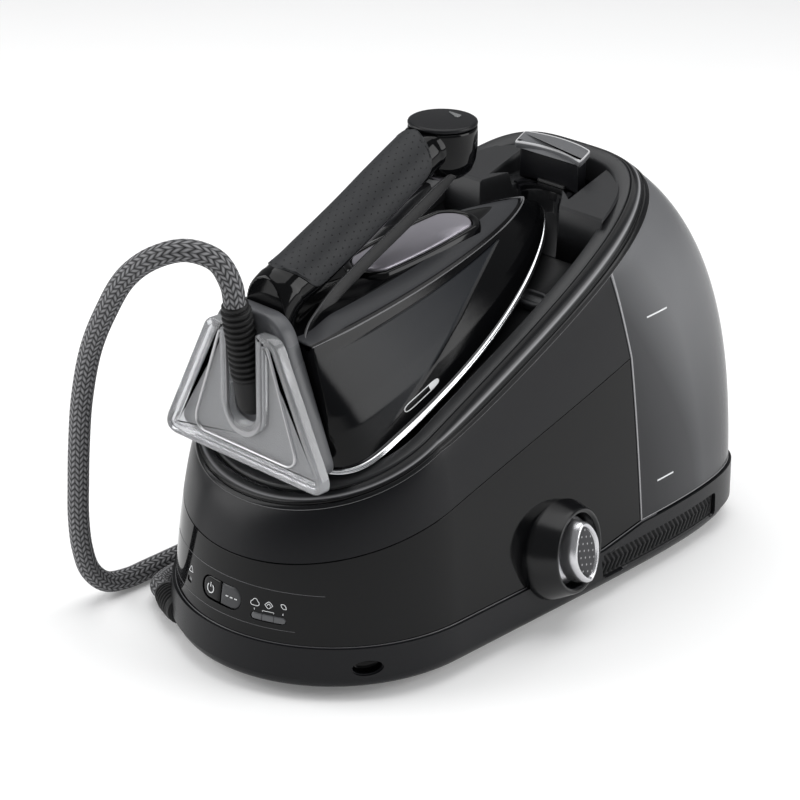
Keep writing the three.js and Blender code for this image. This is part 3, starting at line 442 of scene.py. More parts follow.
def spline(points, count):
    # a centripetal Catmull-Rom curve through points, resampled at equal distances
    p = np.asarray(points, float)
    p = np.vstack([2 * p[0] - p[1], p, 2 * p[-1] - p[-2]])
    knots = np.concatenate([[0], np.cumsum(np.sqrt(np.linalg.norm(np.diff(p, axis=0), axis=1)))])
    dense = []
    for i in range(1, len(p) - 2):
        t = np.linspace(knots[i], knots[i + 1], 24, endpoint=False)[:, None]
        a = [mix(p[k], p[k + 1], (t - knots[k]) / (knots[k + 1] - knots[k])) for k in (i - 1, i, i + 1)]
        b = [mix(a[k], a[k + 1], (t - knots[i - 1 + k]) / (knots[i + 1 + k] - knots[i - 1 + k])) for k in (0,
                                                                                                           1)]
        dense.append(mix(b[0], b[1], (t - knots[i]) / (knots[i + 1] - knots[i])))
    dense = np.vstack([*dense, p[-2][None]])
    return resample(dense, count)


def resample(line, count):
    # the line again as count points at equal distances along it
    length = np.concatenate([[0], np.cumsum(np.linalg.norm(np.diff(line, axis=0), axis=1))])
    wanted = np.linspace(0, length[-1], count)
    return np.stack([np.interp(wanted, length, line[:, k]) for k in range(3)], -1)


def lengthOf(line):
    # the sum of the distances between neighbours
    return np.linalg.norm(np.diff(line, axis=0), axis=1).sum()


def frames(line):
    # two directions across the line at each point, carried along without twist
    tangent = unit(np.gradient(line, axis=0))
    side = np.zeros_like(tangent)
    first = np.cross(tangent[0], [0, 0, 1.0])
    if np.linalg.norm(first) < 0.1:
        first = np.cross(tangent[0], [1.0, 0, 0])
    side[0] = unit(first)
    for i in range(1, len(line)):
        side[i] = unit(side[i - 1] - tangent[i] * (side[i - 1] @ tangent[i]))
    return side, np.cross(tangent, side)


def sweep(line, section):
    # a section of (side, up) carried along a line
    side, other = frames(line)
    return line[:, None] + section[None, :, 0, None] * side[:, None] + section[None, :, 1, None] * other[:,
                                                                                                         None]


def circle(radius, sides=24):
    # points on a circle, anticlockwise
    angle = np.linspace(0, 2 * np.pi, sides, endpoint=False)
    return np.stack([radius * np.cos(angle), radius * np.sin(angle)], -1)


def boxDistance(x, y, halfX, halfY, radius):
    # signed distance to a rectangle with rounded corners
    qx, qy = np.abs(x) - halfX + radius, np.abs(y) - halfY + radius
    return np.hypot(np.maximum(qx, 0), np.maximum(qy, 0)) + np.minimum(np.maximum(qx, qy), 0) - radius


# ---- steam hose, laid out before everything else
hose = dict(radius=6.25, gap=0.3, coilX=-184, coilY=158, coilRadius=66, sides=32, step=2.2)
lying = hose["radius"] + hose["gap"]
over = lying + 2 * hose["radius"] + hose["gap"]
bootLow, bootHigh = np.array([0, -67, 157.0]), np.array([0, -80, 222.0])
bootAxis = unit(bootHigh - bootLow)
glandStart = np.array([-52, -79, 14.0])
glandAxis = unit(np.array([-0.92, 0.38, -0.07]))
glandEnd = glandStart + glandAxis * 27.3
coilEntry = hose["coilX"] + hose["coilRadius"]
toTable = [bootHigh + bootAxis * hose["gap"], [0, -82.4, 234], [-3, -90, 249], [-12, -103, 256],
           [-26, -113, 251], [-44, -118, 236], [-62, -119, 210], [-77, -118, 183], [-89, -116, 149],
           [-97, -113, 118], [-103, -110, 90], [-108, -107, 65], [-112, -102, 41], [-115, -94, 22],
           [-115.5, -82, 10], [-115, -66, lying], [-115, -50, lying], [-116, -10, lying],
           [-117, 30, lying], [coilEntry, 70, lying], [coilEntry, hose["coilY"] - 42, lying]]
turns = np.linspace(0, math.radians(620), 60)[1:]
rise = smooth(math.radians(190), math.radians(360), turns)
coilPoints = np.stack([hose["coilX"] + hose["coilRadius"] * np.cos(turns),
                       hose["coilY"] + hose["coilRadius"] * np.sin(turns),
                       lying + rise * (over - lying)], -1)
fromCoil = [[hose["coilX"] + 24, hose["coilY"] - 78, over], [-143, 72, over], [-126, 58, over],
            [-114, 42, over], [-106, 24, 14], [-102.5, 8, lying + 3], [-102, -8, lying],
            [-100.5, -32, lying], [-95.5, -52, 8.2], glandEnd + glandAxis * 10, glandEnd]
hosePoints = np.vstack([np.array(toTable), coilPoints, np.array(fromCoil)])
hoseLine = spline(hosePoints, int(lengthOf(spline(hosePoints, 2000)) / hose["step"]))
hoseLength = lengthOf(hoseLine)
print("hose length in millimetres:", round(hoseLength, 1))


def hoseBraid():
    # a textile braid: yarns cross the hose in V rows, which lie along its length; a painted highlight lies on
    # their crests and painted shade between them
    m = material("hoseBraid", (0.1, 0.1, 0.1), 0.6, specular=0.35)
    tree = m.node_tree
    shader = tree.nodes["Principled BSDF"]
    place = tree.nodes.new("ShaderNodeUVMap")
    split = tree.nodes.new("ShaderNodeSeparateXYZ")
    tree.links.new(place.outputs["UV"], split.inputs[0])
    columns = 8
    acrossPart = formula(m, "FRACT", formula(m, "MULTIPLY", split.outputs[0], columns))
    fold = formula(m, "ABSOLUTE", formula(m, "SUBTRACT", acrossPart, 0.5))
    slant = formula(m, "ADD", formula(m, "DIVIDE", split.outputs[1], 0.0042),
                    formula(m, "MULTIPLY", fold, 1.6))
    yarn = formula(m, "FRACT", slant)
    hill = formula(m, "SINE", formula(m, "MULTIPLY", yarn, math.pi))
    ridge = formula(m, "SINE", formula(m, "MULTIPLY", formula(m, "MULTIPLY", fold, 2), math.pi))
    height = formula(m, "MULTIPLY", hill, formula(m, "POWER", ridge, 0.35))
    fibre = addNode(m, "ShaderNodeTexNoise", Scale=3500.0, Detail=2.0)
    coordinates = tree.nodes.new("ShaderNodeTexCoord")
    tree.links.new(coordinates.outputs["Object"], fibre.inputs["Vector"])
    rough = formula(m, "ADD", height, formula(m, "MULTIPLY", fibre.outputs["Fac"], 0.25))
    bump = addNode(m, "ShaderNodeBump", Strength=0.9, Distance=0.0006)
    tree.links.new(rough, bump.inputs["Height"])
    tree.links.new(bump.outputs["Normal"], shader.inputs["Normal"])
    # painted highlight and shade: the colour follows the height of the yarns, light on each crest and dark
    # between them
    shade = formula(m, "POWER", height, 1.4)
    tone(m, shade, (0.005, 0.005, 0.006), (0.27, 0.27, 0.28), shader.inputs["Base Color"])
    return m


def makeHose():
    # a round section carried along the route; u goes round it and v is the distance along it
    points = sweep(hoseLine, circle(hose["radius"], hose["sides"]))
    points = np.concatenate([points, points[:, :1]], axis=1)
    count = len(points)
    u = np.linspace(0, 1, hose["sides"] + 1)
    v = np.linspace(0, hoseLength / 1000, count)
    uv = np.stack(np.meshgrid(u, v), -1)
    shape = Shape().grid(points, around=False, uv=uv)
    for row, turned in ((0, True), (count - 1, False)):
        shape.grid(np.stack([points[row], np.broadcast_to(points[row].mean(0), points[row].shape)]),
                   flip=turned)
    piece = build("hose", shape, None, hoseBraid(), uvMap=True,
                  outward=None)
    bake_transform(piece)
    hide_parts("hose_iron_end", "hose_table_run", "hose_coil", "hose_base_end")
    return piece


makeHose()
print("hose done")

# ---- the casing's form
def halfPower(value, exponent):
    # the size of a value to a power, with its sign kept: the terms of a superellipse
    return np.sign(value) * np.abs(value) ** exponent


def planPoint(angle, form, out):
    # two half superellipses, front and rear, that share a width; out widens them
    front = np.sin(angle) < 0
    power = np.where(front, form["frontPower"], form["rearPower"])
    reach = np.where(front, form["front"], form["rear"]) + out
    x = (form["halfWidth"] + out) * halfPower(np.cos(angle), 2 / power)
    return x, form["centreY"] + reach * halfPower(np.sin(angle), 2 / power)


# s is the share of the way round the base: 0 at the front, 0.5 at the rear, negative on the left
w = np.linspace(0, 1, 3000)
eased = w ** 3 / (w ** 3 + (1 - w) ** 3)
angleTable = np.concatenate([np.linspace(-np.pi / 2, 0, 1500)[:-1], eased * np.pi / 2])
plan = np.stack(planPoint(angleTable, base, 0), -1)
walked = np.concatenate([[0], np.cumsum(np.linalg.norm(np.diff(plan, axis=0), axis=1))])
shareTable = walked / walked[-1] * 0.5
halfPerimeter = walked[-1]


def angleOf(s):
    # the outline angle at a share of the way round
    return np.interp(np.abs(s), shareTable, angleTable)


def rimTop(s):
    # the height of the sloping rim plane above the outline
    _, y = planPoint(angleOf(s), rim, 0.0)
    return rim["height"] + rim["slope"] * y - rim["thickness"]


def skin(s, z, out=0.0):
    # each wall line leans in from the ground outline to the rim outline, fastest near the rim
    s = np.where(s > 0.5, s - 1, s)
    s, z = np.broadcast_arrays(np.asarray(s, float), np.asarray(z, float))
    angle = angleOf(s)
    gx, gy = planPoint(angle, base, out)
    rx, ry = planPoint(angle, rim, out)
    top = rim["height"] + rim["slope"] * ry - rim["thickness"]
    t = np.clip((z - base["foot"]) / (top - base["foot"]), 0, 1)
    rear = np.clip(np.sin(angle), 0, 1) ** 4
    lean = 1 - (1 - t ** (1.3 + 2 * rear)) ** (0.46 + 0.44 * rear)
    x, y = mix(gx, rx, lean), mix(gy, ry, lean)
    return np.stack([np.where(s < 0, -x, x), y, z], -1)


def skinNormal(s, z):
    # the cross product of the skin's two slopes, taken over small steps
    a = skin(s + 2e-4, z) - skin(s - 2e-4, z)
    b = skin(s, z + 0.2) - skin(s, z - 0.2)
    return unit(np.cross(a, b))


def raised(s, z, height):
    # a point of the skin moved out along its normal
    return skin(s, z) + skinNormal(s, z) * np.asarray(height)[..., None]


def search(wanted, low, high, measure):
    # bisection on whole arrays: measure rises with its argument
    low, high = np.broadcast_to(low, wanted.shape).astype(float), np.broadcast_to(high,
                                                                                  wanted.shape).astype(float)
    for _ in range(34):
        middle = (low + high) / 2
        short = measure(middle) < wanted
        low, high = np.where(short, middle, low), np.where(short, high, middle)
    return (low + high) / 2


def shareAtX(x, z):
    # on the front, where x grows with the share
    s = search(np.abs(x), 0, 0.2, lambda q: skin(q, z)[..., 0])
    return np.where(x < 0, -s, s)


def shareAtY(y, z, side=1):
    # on a flank, where y grows with the share
    return side * search(y, 0, 0.5, lambda q: skin(q, z)[..., 1])


seams = dict(low=33, high=103, slope=0.285, climb=125, tankLow=38.5, tankY=160, kinkY=151, kinkZ=146,
             lean=0.235, gap=0.55)


def lowSeam(y):
    # level round the front, then climbing to the tank's underside
    return seams["low"] + (seams["tankLow"] - seams["low"]) * np.clip((y - seams["climb"]) / 35, 0, 1)


def highSeam(y):
    # the seam under the cover rises evenly to the rear
    return seams["high"] + seams["slope"] * y


def tankEdge(z):
    # a nearly upright line to a kink, then one that leans forward
    below = mix(seams["tankY"], seams["kinkY"], (z - seams["tankLow"]) / (seams["kinkZ"] - seams["tankLow"]))
    return np.where(z < seams["kinkZ"], below, seams["kinkY"] - seams["lean"] * (z - seams["kinkZ"]))


edgeHeights = np.linspace(5, 260, 300)
edgeShares = shareAtY(tankEdge(edgeHeights), edgeHeights)


def seamShare(z):
    # where the tank's front edge crosses each height
    return np.interp(z, edgeHeights, edgeShares)


def frontGrid(columns, rows, low, high, spread=lambda v: v):
    # round the front from the left tank seam to the right one, between two heights
    u = np.linspace(-1, 1, columns)[None, :] * np.ones((rows, 1))
    v = spread(np.linspace(0, 1, rows))[:, None] * np.ones((1, columns))
    z = np.full_like(u, 60.0)
    for _ in range(25):
        s = u * (seamShare(z) - seams["gap"] / 2 / (2 * halfPerimeter))
        y = skin(s, z)[..., 1]
        z = mix(low(y, s), high(y, s), v)
    return s, z


def holedGrid(s, z, windows):
    # a grid of the skin, where some windows of quads are replaced by rings that close in on an outline
    shape = Shape()
    rows, columns = s.shape
    points = skin(s, z)
    shape.grid(points)
    taken = np.zeros((rows - 1, columns - 1), bool)
    for window in windows:
        (i0, i1), (j0, j1) = window["rows"], window["columns"]
        taken[i0:i1, j0:j1] = True
    shape.faces = [f for f, gone in zip(shape.faces, taken.ravel()) if not gone]
    for window in windows:
        (i0, i1), (j0, j1) = window["rows"], window["columns"]
        loop = np.array([(i0, j) for j in range(j0, j1)] + [(i, j1) for i in range(i0, i1)]
                        + [(i1, j) for j in range(j1, j0, -1)] + [(i, j0) for i in range(i1, i0, -1)])
        edge = points[loop[:, 0], loop[:, 1]]
        flatEdge = window["flatten"](edge)
        inner = window["outline"](flatEdge)
        t = np.linspace(0, 1, window["rings"] + 1)[:, None, None]
        flatRings = mix(flatEdge, inner, t)
        rings = window["lift"](flatRings)
        rings[0] = edge
        shape.grid(rings, around=True)
    return shape


def rayOutline(centre, halfX, halfY, radius):
    # where the ray from the centre through each point meets a rounded rectangle
    def outline(points):
        direction = unit(points - centre)
        low, high = np.zeros(len(points)), np.full(len(points), 80.0)
        for _ in range(40):
            middle = (low + high) / 2
            q = direction * middle[:, None]
            inside = boxDistance(q[:, 0], q[:, 1], halfX, halfY, radius) < 0
            low, high = np.where(inside, middle, low), np.where(inside, high, middle)
        return centre + direction * low[:, None]
    return outline


def frontWindow(s, z, centre, halfX, halfZ, radius, margin, rings=4):
    # a window round an opening in the front, given by its middle (x, z) and half sizes
    points = skin(s, z)
    x, height = points[..., 0], points[..., 2]
    inside = ((np.abs(x - centre[0]) < halfX + margin) & (np.abs(height - centre[1]) < halfZ + margin)
              & (points[..., 1] < 0))
    i, j = np.where(inside)
    return dict(rows=(i.min(), i.max()), columns=(j.min(), j.max()), rings=rings,
                flatten=lambda p: p[..., [0, 2]],
                lift=lambda q: skin(shareAtX(q[..., 0], q[..., 1]), q[..., 1]),
                outline=rayOutline(np.array(centre, float), halfX, halfZ, radius))


def flankWindow(s, z, centre, halfY, halfZ, radius, margin, side, rings=3):
    # a window round an opening in a flank, given by its middle (y, z) and half sizes
    points = skin(s, z)
    inside = ((np.abs(points[..., 1] - centre[0]) < halfY + margin)
              & (np.abs(points[..., 2] - centre[1]) < halfZ + margin) & (points[..., 0] * side > 0))
    i, j = np.where(inside)
    return dict(rows=(i.min(), i.max()), columns=(j.min(), j.max()), rings=rings,
                flatten=lambda p: p[..., [1, 2]],
                lift=lambda q: skin(shareAtY(q[..., 0], q[..., 1], side), q[..., 1]),
                outline=rayOutline(np.array(centre, float), halfY, halfZ, radius))


inside = (0, 60, 60)
panel = dict(height=52, halfLength=15.5, halfHeight=6.5, gap=0.45, barX=33, barHalf=10, barZ=46.5,
             barHalfZ=2.1, ledX=-30.5, ledZ=47.5, ledHalf=2.4)


def makeBand():
    # the gloss band between the two seams, with openings for the buttons, the bar and the lamp
    gap = seams["gap"] / 2
    s, z = frontGrid(341, 35, lambda y, s: lowSeam(y) + gap, lambda y, s: highSeam(y) - gap)
    pill = frontWindow(s, z, (0, panel["height"]), panel["halfLength"] + panel["gap"],
                       panel["halfHeight"] + panel["gap"], panel["halfHeight"] + panel["gap"], 2.5)
    bar = frontWindow(s, z, (panel["barX"], panel["barZ"]), panel["barHalf"] + 0.2, panel["barHalfZ"] + 0.2,
                      panel["barHalfZ"] + 0.1, 2.2)
    led = frontWindow(s, z, (panel["ledX"], panel["ledZ"]), panel["ledHalf"], 1.6, 0.7, 1.9)
    shape = holedGrid(s, z, [pill, bar, led])
    return build("lowerBand", shape, "root", glossBlack, ("lower_band",), weld=0.004,
                 thick=2.2, bevel=0.45, outward=inside)


def makeCover():
    # the satin cover from the upper seam to the rim
    gap = seams["gap"] / 2
    s, z = frontGrid(301, 44, lambda y, s: highSeam(y) + gap, lambda y, s: rimTop(s) - 1.5,
                     lambda v: 1 - (1 - v) ** 1.7)
    return build("upperCover", Shape().grid(skin(s, z)), "root", satinBlack, ("upper_cover",),
                 thick=2.2, bevel=0.45, outward=inside)


vent = dict(front=124, rear=238, low=14.5, high=30, pitch=4.2, depth=1.3)
ovalDish = dict(x=77.5, z=20.5, halfX=4.9, halfZ=4.6)


def makeBottom():
    # the lower shell: a ring round the whole base, rounded under, with openings for both grilles
    columns, rows, tuck = 480, 16, 7.0
    s = np.linspace(-0.5, 0.5, columns, endpoint=False)[None, :] * np.ones((rows, 1))
    v = np.linspace(0, 1, rows)[:, None] * np.ones((1, columns))
    z = np.full_like(s, 20.0)
    for _ in range(12):
        y = skin(s, z)[..., 1]
        z = mix(13.0, lowSeam(y) - seams["gap"] / 2, v)
    s, z = np.concatenate([s, s[:, :1] + 1], 1), np.concatenate([z, z[:, :1]], 1)
    windows = [flankWindow(s, z, ((vent["front"] + vent["rear"]) / 2, (vent["low"] + vent["high"]) / 2),
                           (vent["rear"] - vent["front"]) / 2, (vent["high"] - vent["low"]) / 2, 3, 0.1, side)
               for side in (1, -1)]
    windows.append(frontWindow(s, z, (ovalDish["x"], ovalDish["z"]), ovalDish["halfX"], ovalDish["halfZ"],
                               ovalDish["halfZ"], 2.0))
    shape = holedGrid(s, z, windows)
    turn = np.linspace(0, np.pi / 2, 7)[:, None]
    ring = s[:1]
    inset = tuck * (1 - np.cos(turn))
    under = np.stack([skin(ring[0], 13.0, -i)[:, :] for i in inset[:, 0]])
    under[..., 2] = 13.0 - tuck * np.sin(turn)
    shape.grid(under)
    shape.grid(np.stack([under[-1], under[-1] * [0.5, 0.5, 1] + [0, 50, 0]]), capEnd=True)
    return build("bottomShell", shape, "root", satinBlack, ("bottom_shell",), weld=0.004,
                 thick=2.0, bevel=0.4, bevelAngle=55, outward=inside)


def makeVent(name, side):
    # a grille of chevron slats: the height folds in a V across the band and saws along it
    across, along = 31, 340
    y = np.linspace(vent["front"] + 0.3, vent["rear"] - 0.3, along)[None, :] * np.ones((across, 1))
    z = np.linspace(vent["low"] + 0.3, vent["high"] - 0.3, across)[:, None] * np.ones((1, along))
    fold = np.abs((z - vent["low"]) / (vent["high"] - vent["low"]) - 0.5) * 11
    slat = np.abs(((y + fold) / vent["pitch"]) % 1 - 0.5) * 2
    frameEdge = np.minimum(np.minimum(y - vent["front"], vent["rear"] - y),
                           np.minimum(z - vent["low"], vent["high"] - z))
    depth = -vent["depth"] * smooth(0.35, 0.75, slat) * smooth(0.8, 1.4, frameEdge) - 0.35
    points = raised(shareAtY(y, z, side), z, depth)
    return build(name, Shape().grid(points), "root", matteBlack, (f"vent_{name[4:].lower()}",),
                 thick=1.0, outward=inside)


def rimProfileAt(s, kind, a, b):
    # a point of the rim's section: on the plane inside the outline, or down the skin outside it
    if kind == "plane":
        x, y = planPoint(angleOf(s), rim, -a)
        x = np.where(s < 0, -x, x)
        return np.stack([x, y, rim["height"] + rim["slope"] * y + b], -1)
    z = rimTop(s) - a
    return raised(s, z, np.full_like(z, b))


def makeRim():
    # bands carried round the rim: a broad inner lip, then two narrow steps down to the casing
    s = np.linspace(-0.5, 0.5, 520, endpoint=False)
    lip = [("plane", 11.0, -14), ("plane", 11.0, -1.2), ("plane", 10.6, -0.35), ("plane", 9.8, 0),
           ("plane", 3.6, 0), ("plane", 2.9, -0.2), ("plane", 2.6, -0.8), ("plane", 2.5, -2.2)]
    rows = np.stack([rimProfileAt(s, *p) for p in lip])
    build("rimLip", Shape().grid(rows, around=True), "root", rimGrey, ("rim_trim",),
          outward=(0, 60, -400))
    steps = [("plane", 2.6, -3.0), ("plane", 2.3, -1.35), ("plane", 1.8, -1.1), ("plane", 0.9, -1.3),
             ("skin", 0.6, 1.35), ("skin", 1.6, 1.15), ("skin", 1.9, 0.9), ("skin", 2.0, 0.35),
             ("skin", 2.3, 0.32),
             ("skin", 2.5, 0.85), ("skin", 2.9, 0.95), ("skin", 4.3, 0.8), ("skin", 4.7, 0.6),
             ("skin", 4.9, -0.6)]
    rows = np.stack([rimProfileAt(s, *p) for p in steps])
    bright = np.array([0, 0.4, 0.4, 0, 0.9, 0, 0, 0, 0, 0, 0.2, 0.2, 0.9, 0])
    build("rimSteps", Shape().grid(rows, around=True, mark=bright[:, None]), "root", rimBlack,
          (), outward=(0, 60, -400))


def rearGrid(columns, rows, low, high, spread=lambda v: v):
    # round the rear from the right tank seam to the left one
    u = np.linspace(0, 1, columns)[None, :] * np.ones((rows, 1))
    v = spread(np.linspace(0, 1, rows))[:, None] * np.ones((1, columns))
    z = np.full_like(u, 80.0)
    for _ in range(25):
        first = seamShare(z) + seams["gap"] / 2 / (2 * halfPerimeter)
        s = mix(first, 1 - first, u)
        z = mix(low(s), high(s), v)
    return s, z


def makeTank():
    # the tank's outer skin, its two front walls seen edge on at the seams, and its floor
    def top(s):
        return rimTop(np.where(s > 0.5, s - 1, s)) - 1.2
    s, z = rearGrid(281, 60, lambda s: seams["tankLow"] + seams["gap"] / 2 + 0 * s, top, lambda v: v)
    outer = skin(s, z)
    mouth = dict(half=27.5, front=216.5, rear=252.5)
    centre = outer[:-1, :-1] * 0.25 + outer[1:, :-1] * 0.25 + outer[:-1, 1:] * 0.25 + outer[1:, 1:] * 0.25
    # painted highlight: the smoke colour is painted lighter towards the rear corners and higher up, standing
    # in for the light that the side lamps throw on the tank
    turn = np.abs(np.where(s > 0.5, 1 - s, s))
    mark = np.interp(turn, [0.2, 0.27, 0.33, 0.38, 0.43, 0.5], [0.18, 0.3, 0.52, 0.95, 0.8, 0.45])
    mark = mark * mix(0.82, 1.1, smooth(60, 190, z))
    shape = Shape().grid(outer, mark=np.clip(mark, 0, 1))
    cut = (np.abs(centre[..., 0]) < mouth["half"]) & (centre[..., 1] > mouth["front"]) \
        & (centre[..., 1] < mouth["rear"]) & (centre[..., 2] > 150)
    shape.faces = [f for f, gone in zip(shape.faces, cut.ravel()) if not gone]
    return build("waterTank", shape, "tank", tankSmokeAndPaintedSheen, ("water_tank",),
                 thick=2.4, bevel=0.5, outward=inside)


def makeTankInside():
    # the walls that close the tank: across its front, and round the tub of the rest
    rows, columns = 40, 60
    z = np.linspace(seams["tankLow"] + 3, 200, rows)[:, None] * np.ones((1, columns))
    u = np.linspace(-1, 1, columns)[None, :] * np.ones((rows, 1))
    s = seamShare(z)
    edge = skin(s, z, -2.6)
    y = tankEdge(z) + 0.4
    points = np.stack([edge[..., 0] * u, y, z], -1)
    # the front wall stops under the sloping tub: its underside rises from tubLow at y = tubFront
    tubLow, tubFront, tubSlope, tubHalf = 106.4, -70, math.tan(math.radians(20.8)), 73
    aboveTub = points[..., 2] > tubLow + tubSlope * (points[..., 1] - tubFront)
    shape = Shape().grid(points)
    centreCut = aboveTub[:-1, :-1] & (np.abs(points[:-1, :-1, 0]) < tubHalf)
    shape.faces = [f for f, gone in zip(shape.faces, centreCut.ravel()) if not gone]
    share = mix(seamShare(40.0), 1 - seamShare(40.0), np.linspace(0, 1, 200))[None, :]
    floorRow = skin(share, np.full((1, 200), 39.2), -1.2)
    middle = floorRow * [0, 0, 1] + [0, 205, 0]
    shape.grid(np.concatenate([floorRow, mix(floorRow, middle, 0.6), middle]))
    return build("tankWalls", shape, "tank", smokePlastic, (), thick=1.6,
                 outward=(0, 220, 120))


def makeLid():
    # the filler lid follows the tank's skin; a raised lip marks the edge to lift
    half, front, rear = 27, 219, 252
    x = np.linspace(-half, half, 41)[None, :] * np.ones((40, 1))
    y = np.linspace(front, rear, 40)[:, None] * np.ones((1, 41))
    # height of the skin above each place, by bisection down each upright line
    low, high = np.full(x.shape, 120.0), np.full(x.shape, 240.0)
    for _ in range(34):
        middle = (low + high) / 2
        s = search(-np.abs(x), 0.3, 0.5, lambda q: -skin(q, middle)[..., 0])
        beyond = skin(s, middle)[..., 1] > y
        low, high = np.where(beyond, middle, low), np.where(beyond, high, middle)
    z = (low + high) / 2
    points = np.stack([x, y, z], -1)
    lift = unit(np.cross(np.gradient(points, axis=1), np.gradient(points, axis=0)))
    lift = lift * np.sign(lift[..., 2:3])
    bump = 0.7 + 1.4 * smooth(4.5, 3, np.abs(y - rear + 5)) * smooth(14, 12, np.abs(x))
    return build("tankLid", Shape().grid(points + lift * bump[..., None]), "tank_lid", smokePlastic,
                 ("tank_lid",), thick=1.8, bevel=0.4, outward=inside)


makeBand()
makeCover()
makeBottom()
makeVent("ventRight", 1)
makeVent("ventLeft", -1)
makeRim()
makeTank()
makeTankInside()
makeLid()


def makeSeamLines():
    # fine light edges: along the lower seam, and round the front and foot of the tank
    s = np.linspace(-0.33, 0.33, 500)
    z = np.full(500, 34.0)
    for _ in range(8):
        z = lowSeam(skin(s, z)[:, 1])
    rows = [raised(s, z + dz, np.full(500, lift))
            for dz, lift in ((-0.5, -0.2), (-0.3, 0.22), (0.15, 0.22), (0.3, -0.2))]
    build("lowerSeamLine", Shape().grid(np.stack(rows)), "root", lineGrey, (), outward=inside)
    for name, side in (("Right", 1), ("Left", -1)):
        z = np.linspace(seams["tankLow"] + 0.6, 206, 240)
        first = seamShare(z) + 0.0006
        rows = []
        for ds, lift in ((0, -0.3), (0.0001, 0.2), (0.0011, 0.2), (0.0013, -0.3)):
            rows.append(raised(side * (first + ds), z, np.full(240, lift)))
        build("tankEdge" + name, Shape().grid(np.stack(rows)), "tank", seamLight, (), outward=inside)
    first = seamShare(np.array([seams["tankLow"] + 1.0]))[0]
    s = np.linspace(first + 0.0008, 1 - first - 0.0008, 500)
    z = np.full(500, seams["tankLow"] + 1.0)
    rows = [raised(s, z + dz, np.full(500, lift))
            for dz, lift in ((-0.5, -0.3), (-0.4, 0.2), (0.2, 0.2), (0.35, -0.3))]
    build("tankFootLine", Shape().grid(np.stack(rows)), "tank", seamLight, (), outward=inside)


makeSeamLines()
print("casing done")

# ---- the iron, in its own frame: x across, s along the soleplate from the heel, h up from the sole
iron = dict(heelY=-70, heelZ=119.4, tilt=math.radians(20.8), half=62, length=254, sole=4, deckHigh=82.8,
            deckFall=0.264, deckHalf=37, deckLength=243, cutY=-57.7)


def onIron(points):
    # from the iron's frame to the base's: turned by the tilt about x and moved to the heel
    p = np.asarray(points, float)
    c, n = math.cos(iron["tilt"]), math.sin(iron["tilt"])
    return np.stack([p[..., 0], iron["heelY"] + p[..., 1] * c - p[..., 2] * n,
                     iron["heelZ"] + p[..., 1] * n + p[..., 2] * c], -1)


def cutAtHeel(points):
    # the rear is cut flat where the heel frame stands
    points[..., 1] = np.maximum(points[..., 1], iron["cutY"])
    return points


def halfWidthAt(s, half, start, middle, tip):
    # full behind the middle like a fourth power superellipse, then tapering to the nose
    behind = np.clip((middle - s) / (middle - start), 0, 1)
    ahead = np.clip((s - middle) / (tip - middle), 0, 1)
    return half * np.where(s <= middle, (1 - behind ** 4) ** 0.25, (1 - ahead ** 2.1) ** 0.72)


def boat(half, start, middle, tip, count=120):
    # the outline as a ring of (x, s): the right side from the rear to the nose, then the left side
    t = (1 - np.cos(np.linspace(0, np.pi, count))) / 2
    s = start + (tip - start) * t
    x = halfWidthAt(s, half, start, middle, tip)
    x[0] = x[-1] = 0
    return np.concatenate([np.stack([x, s], -1), np.stack([-x[-2:0:-1], s[-2:0:-1]], -1)])


def boatRing(inset, height, half, start, middle, tip):
    # the boat outline drawn in by inset at one height
    outline = boat(half - inset, start + inset, middle, tip - inset * 1.9)
    h = height(outline[:, 1]) if callable(height) else np.full(len(outline), float(height))
    return np.column_stack([outline, h])


def steamHoles():
    # rows of round steam holes along the edge and across the nose of the sole
    rows = []
    for inset in (14, 24):
        outline = boat(iron["half"] - inset, 40, 66, iron["length"] - inset * 1.6, 60)
        rows.append(resample(np.column_stack([outline[:60], np.zeros(60)]), 20 if inset == 14 else 14)[1:,
                                                                                                       :2])
    places = np.concatenate(rows)
    return np.concatenate([places, places * [-1, 1]])


def makeSoleplate():
    # edge rings with three fine steps, and a sole with a dip at each steam hole
    rim = [(0.4, 4.25), (-0.4, 4.2), (-0.9, 3.9), (-1.1, 3.4), (-0.7, 3.2), (-0.7, 2.95), (-1.2, 2.8),
           (-1.2, 2.2),
           (-0.75, 2.0), (-0.75, 1.75), (-1.1, 1.6), (-0.7, 0.9), (0.3, 0.3), (1.8, 0.05), (3.0, 0)]
    outer = (iron["half"], 16, 60, iron["length"])
    rows = [boatRing(i, h, *outer) for i, h in rim]
    insets = np.linspace(3.6, 52, 78)
    holes = steamHoles()
    for i in insets:
        share = i / 52
        outline = rows[len(rim) - 1][:, :2] * [1, 1]
        centre = np.stack([np.zeros(len(outline)), np.clip(outline[:, 1], 60, 190)], -1)
        place = mix(outline, centre, share)
        near = np.linalg.norm(place[:, None] - holes[None], axis=2).min(1)
        rows.append(np.column_stack([place, 1.4 * smooth(2.4, 1.5, near)]))
    rows = np.stack(rows)
    top = np.stack([boatRing(0.4, 4.25, *outer), boatRing(8, 4.1, *outer)])
    shape = Shape().grid(onIron(rows), around=True)
    shape.grid(onIron(top), around=True, flip=True)
    return build("sole", shape, "iron", soleSteel, ("soleplate",), weld=0.003)


skirt = dict(low=4.3, rows=60)


def leanAt(t):
    # how far a wall line has come in at each share of its height
    return np.interp(t, [0, 0.15, 0.3, 0.45, 0.6, 0.8, 1], [0, 0.055, 0.14, 0.29, 0.5, 0.76, 1])


